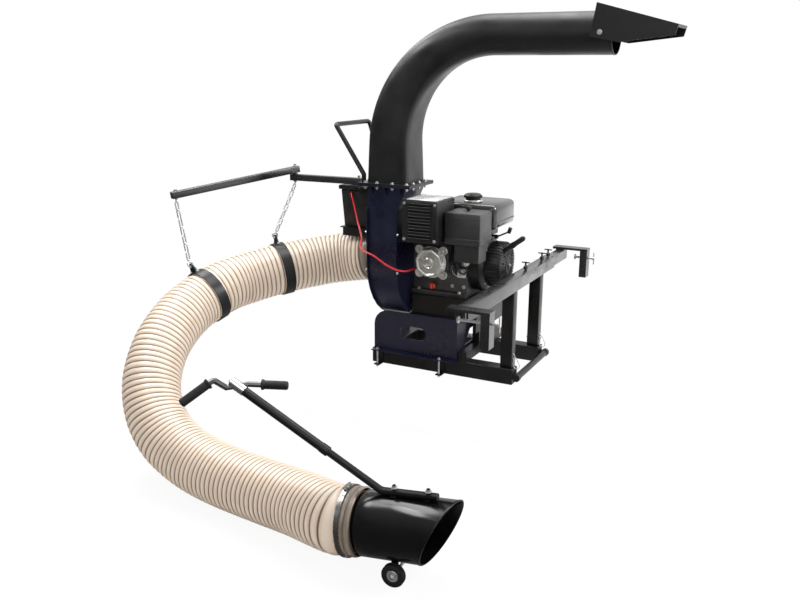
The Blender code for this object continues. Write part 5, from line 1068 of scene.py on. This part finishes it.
# Valve cover: bright die-cast lid with cut corners, a raised rim and a scroll in the middle.
# Four screws hold it on the cylinder.
BRIGHT_CAST = grained(
    "bright_casting", (0.6, 0.59, 0.55), 0.3, 600, 0.0002,
    metallic=0.8, tone=0.1, spread=0.08, patch=20.0,
)
COVER_X, COVER_Z, COVER_STEPS, COVER_LEAN, COVER_SQUARENESS = -0.018, 0.4925, 96, 0.2, 22
FLANGE_RADIUS, LOBE_RADIUS, SCROLL_TURNS, SCROLL_POINTS = 0.0655, 0.02, 1.9, 40
LID_LOBES = [(-0.052, 0.048), (0.052, 0.048), (-0.052, -0.048), (0.052, -0.048)]
FLANGE_RINGS = ((-0.001, -0.0853), (0.0, -0.0868), (0.0, -0.0915), (-0.0015, -0.0932))
LID_RINGS = (
    (0.121, -0.0938), (0.118, -0.0965), (0.112, -0.115), (0.109, -0.119),
    (0.103, -0.1207), (0.097, -0.1205), (0.092, -0.118), (0.089, -0.1165),
)


def cover_point(aside, y):
    """A point so far to the side of the cover's middle and above it."""
    return COVER_X + aside[0], y, COVER_Z + aside[1]


def cover_ring(reach_at, y):
    """A ring in front of the cylinder, with its own reach at each angle."""
    angles = [math.tau * step / COVER_STEPS for step in range(COVER_STEPS)]
    return [cover_point(polar(angle, reach_at(angle)), y) for angle in angles]


def lid_reach(angle, size):
    """An octagon with blunt corners, turned a little."""
    facing = [math.cos(angle - COVER_LEAN - side * math.pi / 4) for side in range(8)]
    blunt = sum((value * 2 / size) ** COVER_SQUARENESS for value in facing if value > 0)
    return blunt ** (-1 / COVER_SQUARENESS)


def flange_reach(angle, grown):
    """A round with four ears for the screws."""
    reach, ear = FLANGE_RADIUS + grown, LOBE_RADIUS + grown
    for x, z in LID_LOBES:
        along = x * math.cos(angle) + z * math.sin(angle)
        aside = x * math.sin(angle) - z * math.cos(angle)
        if along > 0 and abs(aside) < ear:
            reach = max(reach, along + math.sqrt(ear ** 2 - aside ** 2))
    return reach


def front_screws(name, places):
    """Screws that face forward: each place is x, y and z, and its size."""
    bolts(name, [((x, y, z), -Y, size) for x, y, z, size in places])


lid = [cover_ring(lambda angle: flange_reach(angle, grown), y) for grown, y in FLANGE_RINGS]
lid += [cover_ring(lambda angle: lid_reach(angle, size), y) for size, y in LID_RINGS]
lofted("valve_lid", lid, BRIGHT_CAST, ("valve_cover",), 32, True)
turned(
    "valve_lid_boss",
    [(0.02, 0.0), (0.0225, 0.0), (0.0215, 0.0062), (0.0195, 0.0075), (0.0178, 0.0062), (0.0172, 0.0)],
    cover_point((0, 0), -0.116), -Y, BRIGHT_CAST, 56, replaced=("valve_cover",),
)
scroll = [
    cover_point(polar(math.tau * SCROLL_TURNS * share, 0.015 - 0.0115 * share), -0.1172)
    for share in (step / (SCROLL_POINTS - 1) for step in range(SCROLL_POINTS))
]
wire("valve_lid_scroll", scroll, 0.0019, BRIGHT_CAST, replaced=("valve_cover",))
front_screws("valve_lid_screws", [(*cover_point(lobe, -0.0934), 0.8) for lobe in LID_LOBES])


# Small fittings of the cylinder: spark plug boot with its lead, a cast bracket and the case's bolts.
# The boot is rubber and pushed over the plug, and the bracket is screwed to the crankcase.
CASE_FRONT, BRACKET_FRONT = 0.0197, 0.0085
turned(
    "plug_boot",
    [(0, 0), (0.008, 0), (0.0095, 0.003), (0.0095, 0.014), (0.0082, 0.016), (0.0082, 0.026), (0.006, 0.031),
     (0, 0.0315)],
    (0.0525, -0.052, 0.5), (0.8, -0.58, 0.1), RUBBER_COAT, 32,
)
wire(
    "plug_lead",
    [(0.077, -0.07, 0.503), (0.088, -0.08, 0.5), (0.098, -0.088, 0.485), (0.104, -0.084, 0.466),
     (0.108, -0.06, 0.45), (0.106, -0.02, 0.446), (0.1, 0.014, 0.452)],
    0.0034, RUBBER_COAT,
)
slab("lead_bracket", (0.056, BRACKET_FRONT, 0.415), (0.092, CASE_FRONT, 0.452), BRIGHT_CAST, 0.003)
front_screws(
    "case_bolts",
    [(0.074, BRACKET_FRONT, 0.425, 1.0), (0.074, BRACKET_FRONT, 0.442, 0.8),
     (-0.01, CASE_FRONT, 0.412, 1.0), (-0.085, CASE_FRONT, 0.412, 0.9),
     (0.03, CASE_FRONT, 0.374, 1.0), (0.082, CASE_FRONT, 0.374, 1.0)],
)
wire(
    "choke_rod",
    [(0.06, -0.0095, 0.513), (0.05, -0.03, 0.48), (0.058, -0.046, 0.452), (0.082, -0.04, 0.43),
     (0.092, -0.012, 0.426)],
    0.0013,
)


# Oil filler: red moulded cap with a grip bar, screwed into the front of the crankcase.
# The cap and its bar turn together.
RED_PLASTIC = grained(
    "red_moulded_plastic", (0.55, 0.04, 0.012), 0.38, 900, 0.0002, tone=0.12
)
oil_cap = {"body": "oil_filler_cap", "replaced": ("oil_cap",)}
turned(
    "oil_filler",
    [(0, 0.018), (0.0085, 0.018), (0.0105, 0.0168), (0.0135, 0.015), (0.014, 0.013),
     (0.014, 0.01), (0.009, 0.0085), (0.009, 0.0), (0, 0)],
    (-0.055, CASE_FRONT, 0.368), -Y, RED_PLASTIC, 36, **oil_cap,
)
slab(
    "oil_filler_bar", (-0.0585, -0.0063, 0.3555), (-0.0515, 0.002, 0.3805), RED_PLASTIC, 0.002, **oil_cap
)


# Muffler: pressed can in a black heat guard, which has louvres in front and a wire mesh on top.
# The louvres' lips are rolled, and four screws hold the guard's front.
HEAT_BLACK = grained(
    "heat_resistant_black", (0.0075, 0.0075, 0.008), 0.42, 1000, 0.0003, mirror=0.36
)
BRIGHT_MESH = grained(
    "bright_wire_mesh", (0.6, 0.6, 0.59), 0.32, 500, 0.0001,
    metallic=1.0, tone=0.15, spread=0.08, patch=30.0,
)
dress(HEAT_BLACK, "muffler_guard", "muffler")
LOUVRES, LOUVRE_LOW, LOUVRE_PITCH = 12, 0.595, 0.0126
GUARD_SCREW_SIDES, GUARD_FRONT = (-0.112, 0.022), -0.1503
MESH_COLUMNS, MESH_ROWS, MESH_PITCH_X, MESH_PITCH_Y = 14, 18, 0.0098, 0.0086
MESH_LEFT, MESH_FRONT, MESH_HEIGHT = -0.11, -0.135, 0.7486
LOUVRE = repeated(
    "louvre_lip", lambda tree, size: rod(tree, 12, size["Lip"], size["Length"]),
    {"Lip": 0.0032, "Length": 0.098},
)
MESH_EYE = repeated(
    "mesh_eye", lambda tree, size: hoop(tree, 6, size["Eye"], 4, size["Strand"]),
    {"Eye": 0.0052, "Strand": 0.0009},
)
louvres = [((-0.045, -0.1495, LOUVRE_LOW + LOUVRE_PITCH * number), X) for number in range(LOUVRES)]
set_out("guard_louvres", LOUVRE, louvres, HEAT_BLACK)
eyes = []
for row in range(MESH_ROWS):
    for column in range(MESH_COLUMNS):
        x = MESH_LEFT + (column + row % 2 / 2) * MESH_PITCH_X
        eyes.append(((x, MESH_FRONT + row * MESH_PITCH_Y, MESH_HEIGHT), Z))
set_out("guard_mesh", MESH_EYE, eyes, BRIGHT_MESH)
front_screws(
    "guard_screws",
    [(x, GUARD_FRONT, z, size) for z, size in ((0.59, 0.8), (0.734, 0.7)) for x in GUARD_SCREW_SIDES],
)


# Air cleaner: moulded cover over the paper element, clamped down by one knob on top, on a duct that
# leads to the carburettor. A lip shows where the cover meets its base.
CLEANER_BLACK = grained(
    "textured_charcoal", (0.014, 0.0145, 0.016), 0.44, 1700, 0.0004,
    tone=0.15, mirror=0.75,
)
dress(CLEANER_BLACK, "air_cleaner")
dress(MOULDED, "air_cleaner_knob")


def rounded_ring(low, high, corner, height, proud):
    """A rectangle with round corners, seen from above, and so much larger all round."""
    left, front, right, back = low[0] - proud, low[1] - proud, high[0] + proud, high[1] + proud
    corner += proud
    ring = []
    for x, y, first in (
        (right - corner, back - corner, 0), (left + corner, back - corner, 90),
        (left + corner, front + corner, 180), (right - corner, front + corner, 270),
    ):
        for step in range(7):
            across, back_by = polar(math.radians(first + 15 * step), corner)
            ring.append((x + across, y + back_by, height))
    return ring


def seam_lip(name, low, high, corner, height, proud, tall, material):
    """A lip round a box with round corners, whose inner edge lies inside the box's wall."""
    lip = (
        (-1, -0.002), (-1, proud * 0.6), (-0.5, proud), (0.5, proud), (1, proud * 0.6), (1, -0.002),
    )
    rings = [rounded_ring(low, high, corner, height + tall * up, out) for up, out in lip]
    lofted(name, rings, material)


cleaner = ((0.04, -0.1), (0.196, 0.03), 0.01)
seam_lip("cleaner_seam", *cleaner, 0.598, 0.0022, 0.003, CLEANER_BLACK)
seam_lip("cleaner_brim", *cleaner, 0.682, 0.0012, 0.0016, CLEANER_BLACK)
turned(
    "cleaner_dish",
    [(0.015, 0.0), (0.024, 0.0), (0.0235, 0.0012), (0.0215, 0.0018), (0.016, 0.001)],
    (0.118, -0.035, 0.704), Z, CLEANER_BLACK,
)


# Carburettor with its levers: cast body with a float bowl, a choke lever, governor rod and springs.
# The fuel line comes down to it from the tank.
dress(CAST, "carburettor")
turned(
    "float_bowl",
    [(0, -0.034), (0.006, -0.034), (0.0065, -0.031), (0.015, -0.029), (0.018, -0.024), (0.0185, -0.004),
     (0.0205, -0.0035), (0.0205, 0.0), (0, 0.0)],
    (0.092, 0.0065, 0.5003), Z, BRIGHT_CAST, 36,
)
slab("choke_lever", (0.06, -0.01, 0.507), (0.118, -0.008, 0.519), ZINC, 0.0006)
front_screws(
    "carburettor_screws",
    [(0.068, -0.006, 0.534, 0.6), (0.116, -0.006, 0.534, 0.6), (0.092, -0.0102, 0.513, 0.75)],
)
wire(
    "governor_rod",
    [(0.118, -0.009, 0.513), (0.128, -0.012, 0.52), (0.14, -0.004, 0.545), (0.15, 0.03, 0.566),
     (0.158, 0.085, 0.572), (0.164, 0.135, 0.574)],
    0.0011,
)
SPRING_RADIUS, SPRING_STEPS, SPRING_TURNS, SPRING_TAIL = 0.0032, 8, 14, 0.12
spring_start, spring_end = Vector((0.112, -0.012, 0.522)), Vector((0.15, 0.036, 0.558))
along = (spring_end - spring_start).normalized()
side = square_to(Z, along)
beside = along.cross(side)
coils = [spring_start]
spring_points = SPRING_TURNS * SPRING_STEPS
for step in range(spring_points + 1):
    up, across = polar(math.tau * step / SPRING_STEPS, SPRING_RADIUS)
    share = SPRING_TAIL + (1 - 2 * SPRING_TAIL) * step / spring_points
    middle = spring_start.lerp(spring_end, share)
    coils.append(middle + side * up + beside * across)
wire("governor_spring", [*coils, spring_end], 0.0006, sides=2)
wire(
    "fuel_line",
    [(0.02, 0.034, 0.63), (0.03, 0.02, 0.6), (0.048, 0.008, 0.56), (0.06, 0.005, 0.53),
     (0.066, 0.007, 0.515)],
    0.0038, RUBBER_COAT,
)


# Fuel tank: two deep-drawn halves in gloss black enamel, welded along a lip, with a vented cap.
# The cap is moulded, and fine ribs round it give the hand a hold.
TANK_ENAMEL = grained(
    "tank_enamel", (0.012, 0.012, 0.013), 0.18, 500, 0.00008,
    tone=0.1, spread=0.04, mirror=0.7,
)
dress(TANK_ENAMEL, "fuel_tank")
dress(MOULDED, "fuel_cap")
CAP_X, CAP_Y, CAP_TOP, CAP_RIBS, RIB_REACH, RIB_HEIGHT = 0.072, 0.12, 0.7502, 32, 0.0368, 0.7405
seam_lip("tank_seam", (-0.06, 0.034), (0.206, 0.27), 0.022, 0.648, 0.0026, 0.0016, TANK_ENAMEL)
turned(
    "filler_neck",
    [(0.032, 0.0), (0.0395, 0.0), (0.0395, 0.002), (0.037, 0.0055), (0.034, 0.006), (0.032, 0.0055)],
    (CAP_X, CAP_Y, 0.7218), Z, BRIGHT_CAST, 56,
)
CAP_RIB = repeated(
    "cap_rib", lambda tree, size: rod(tree, 8, size["Rib"], size["Height"]),
    {"Rib": 0.0016, "Height": 0.009},
)
cap_ribs = [
    ((CAP_X + RIB_REACH * across, CAP_Y + RIB_REACH * back, RIB_HEIGHT), Z)
    for across, back in round_about(CAP_RIBS)
]
set_out("fuel_cap_ribs", CAP_RIB, cap_ribs, MOULDED, "tank_cap")
turned(
    "fuel_cap_dish",
    [(0, 0.0008), (0.02, 0.0008), (0.022, 0.002), (0.0255, 0.002), (0.027, 0.0), (0, 0)],
    (CAP_X, CAP_Y, CAP_TOP), Z, MOULDED, body="tank_cap",
)


# Recoil starter: pressed cover over the flywheel, with fine vanes that keep leaves out.
# The rope's grip sits in its guide, and the throttle lever pivots on the box above it.
dress(HEAT_BLACK, "recoil_starter")
dress(RUBBER_COAT, "pull_handle")
dress(MOULDED, "throttle_lever")
STARTER_X, SHROUD_X, SHROUD_BOLT_RADIUS, VANES = 0.2323, 0.1546, 0.101, 40
# Each bar of a vane is its size, its place from the shaft's end and its lean: face, rim and corner.
VANE_BARS = (
    ((0.0026, 0.0017, 0.042), (-0.003, 0, 0.0665), -0.21),
    ((0.048, 0.0017, 0.0026), (-0.042, 0, 0.0962), 0),
    ((0.0026, 0.0017, 0.013), (-0.0125, 0, 0.0925), -0.95),
)


def vane(tree, _):
    bars = []
    for size, to, lean in VANE_BARS:
        ends = {0: add(tree, "GeometryNodeMeshCube", {"Size": size}), "Translation": to}
        bars.append(add(tree, "GeometryNodeTransform", {**ends, "Rotation": (0, lean, 0)}))
    return joined(tree, *bars)


starter_face = Vector((STARTER_X, SHAFT_Y, SHAFT_Z))
vane_places = []
for up, across in round_about(VANES, 0.25):
    out = Vector((0, across, up))
    vane_places.append((starter_face, columns(X, out.cross(X), out)))
set_out("starter_vanes", repeated("vane", vane, {}), vane_places, TANK_ENAMEL)
turned(
    "starter_disc",
    [(0, 0.0022), (0.012, 0.0022), (0.015, 0.001), (0.033, 0.001), (0.036, 0.0026), (0.0385, 0.0026),
     (0.04, 0.0), (0, 0)],
    starter_face, X, HEAT_BLACK, 56,
)
bolts("starter_nut", [(starter_face + X * 0.0022, X, 0.9)])
bolts("shroud_screws", ringed(SHROUD_X, SHROUD_BOLT_RADIUS, 4, 0.5, X, 0.8))
slab("control_box", (0.1, 0.052, 0.58), (0.156, 0.205, 0.6165), MOULDED, 0.005)


# Stage: white floor under the wheels and a white block under the skid frame, in soft studio light.
# Both are plain white to the camera but for a soft shadow near the machine, and what mirrors see of
# them and of the sky is brighter to one side, which shapes the black coats.
def by_direction(tree, light, place, way, low, high, dull, bright, plain):
    """A strength that changes along a direction for mirrors, and is plain for all else."""
    along = add(tree, "ShaderNodeVectorMath", {0: place, 1: way}, operation="DOT_PRODUCT")
    seen = ranged(tree, along.outputs["Value"], low, high, dull, bright)
    return add(tree, "ShaderNodeMix", {0: light.outputs["Is Glossy Ray"], 2: plain, 3: seen})


def stage_material(name, keep):
    """White that keeps so much of its glow near the machine, and all of it further off."""
    made = bpy.data.materials.new(name)
    made.use_nodes = True
    tree = made.node_tree
    tree.nodes.clear()
    place = add(tree, "ShaderNodeTexCoord").outputs["Object"]
    light = add(tree, "ShaderNodeLightPath")
    far = add(tree, "ShaderNodeVectorMath", {0: place, 1: (-0.25, -0.45, -0.2)}, operation="DISTANCE")
    kept = ranged(tree, far.outputs["Value"], 0.9, 2.2, keep, 1.0, interpolation_type="SMOOTHSTEP")
    strength = by_direction(
        tree, light, place, (0.6, 0.8, 0), low=-0.8, high=1.8, dull=0.1, bright=1.6, plain=1.0
    )
    matt = add(tree, "ShaderNodeBsdfDiffuse", {"Color": (0.86, 0.86, 0.86, 1)})
    glow = add(tree, "ShaderNodeEmission", {"Color": (1, 1, 1, 1), "Strength": strength})
    by_camera = maths(tree, "MULTIPLY", light.outputs["Is Camera Ray"], kept)
    share = maths(tree, "MAXIMUM", by_camera, light.outputs["Is Glossy Ray"])
    mix = add(tree, "ShaderNodeMixShader", {0: share, 1: matt, 2: glow})
    add(tree, "ShaderNodeOutputMaterial", {0: mix})
    return made


floor = skinned(
    "studio_floor", block((-14, -14, -0.305), (14, 14, -0.2851)), stage_material("studio_white", 0.93)
)
stage_block = skinned(
    "studio_block", block((-0.322, -0.027, -0.285), (0.356, 0.357, -0.0006)),
    stage_material("block_white", 0.985),
)
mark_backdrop(floor, stage_block)
for name, place, aim, size, power in (
    ("key_light", (3.2, 0.6, 2.6), (0, 0, 0.6), 1.8, 150),
    ("top_light", (0.2, 0.6, 3.6), (0, 0, 0.5), 2.4, 88),
    ("left_light", (-2.3, 0.5, 3.2), (-0.5, -0.3, 0.3), 2.0, 78),
    ("hose_light", (-1.3, -0.9, 2.1), (-0.5, 0.0, 0.4), 0.9, 26),
    ("front_light", (0.8, -3.6, 2.2), (0, 0, 0.4), 2.0, 20),
):
    lamp = bpy.data.lights.new(name, "AREA")
    lamp.shape = "DISK"
    lamp.size = size
    lamp.energy = power
    holder = stand(name, lamp)
    holder.location = place
    holder.rotation_euler = (Vector(aim) - Vector(place)).to_track_quat("-Z", "Y").to_euler()
world = bpy.data.worlds.new("studio")
world.use_nodes = True
bpy.context.scene.world = world
sky = world.node_tree
sky.nodes.clear()
ray = add(sky, "ShaderNodeLightPath")
way = add(sky, "ShaderNodeTexCoord").outputs["Generated"]
glossy = by_direction(
    sky, ray, way, (0.62, 0.52, 0.59), low=-0.5, high=0.9, dull=0.16, bright=1.35, plain=0.52
)
seen = maths(sky, "MAXIMUM", ray.outputs["Is Camera Ray"], ray.outputs["Is Transmission Ray"])
level = add(sky, "ShaderNodeMix", {0: seen, 2: glossy, 3: 1.0})
background = add(sky, "ShaderNodeBackground", {"Color": (1, 1, 1, 1), "Strength": level})
add(sky, "ShaderNodeOutputWorld", {0: background})
bpy.context.scene.view_settings.view_transform = "Standard"


# Camera: at the photograph's height and angle.
# It looks down to the left, and rolls by a quarter of a degree.
YAW, PITCH, ROLL = 27.15, -15.0, 0.0047
forward = heading(90 + YAW, PITCH)
level_right = heading(YAW, 0)
level_up = level_right.cross(forward)
right = level_right * math.cos(ROLL) + level_up * math.sin(ROLL)
upward = level_up * math.cos(ROLL) - level_right * math.sin(ROLL)
view = bpy.data.cameras.new("photo_camera")
view.lens = 38.79
view.sensor_width = 36
view.clip_end = 60
camera = stand("photo_camera", view)
camera.matrix_world = turn_to(right, upward, -forward, (1.432, -3.193, 1.249))
bpy.context.scene.camera = camera

low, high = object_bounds()
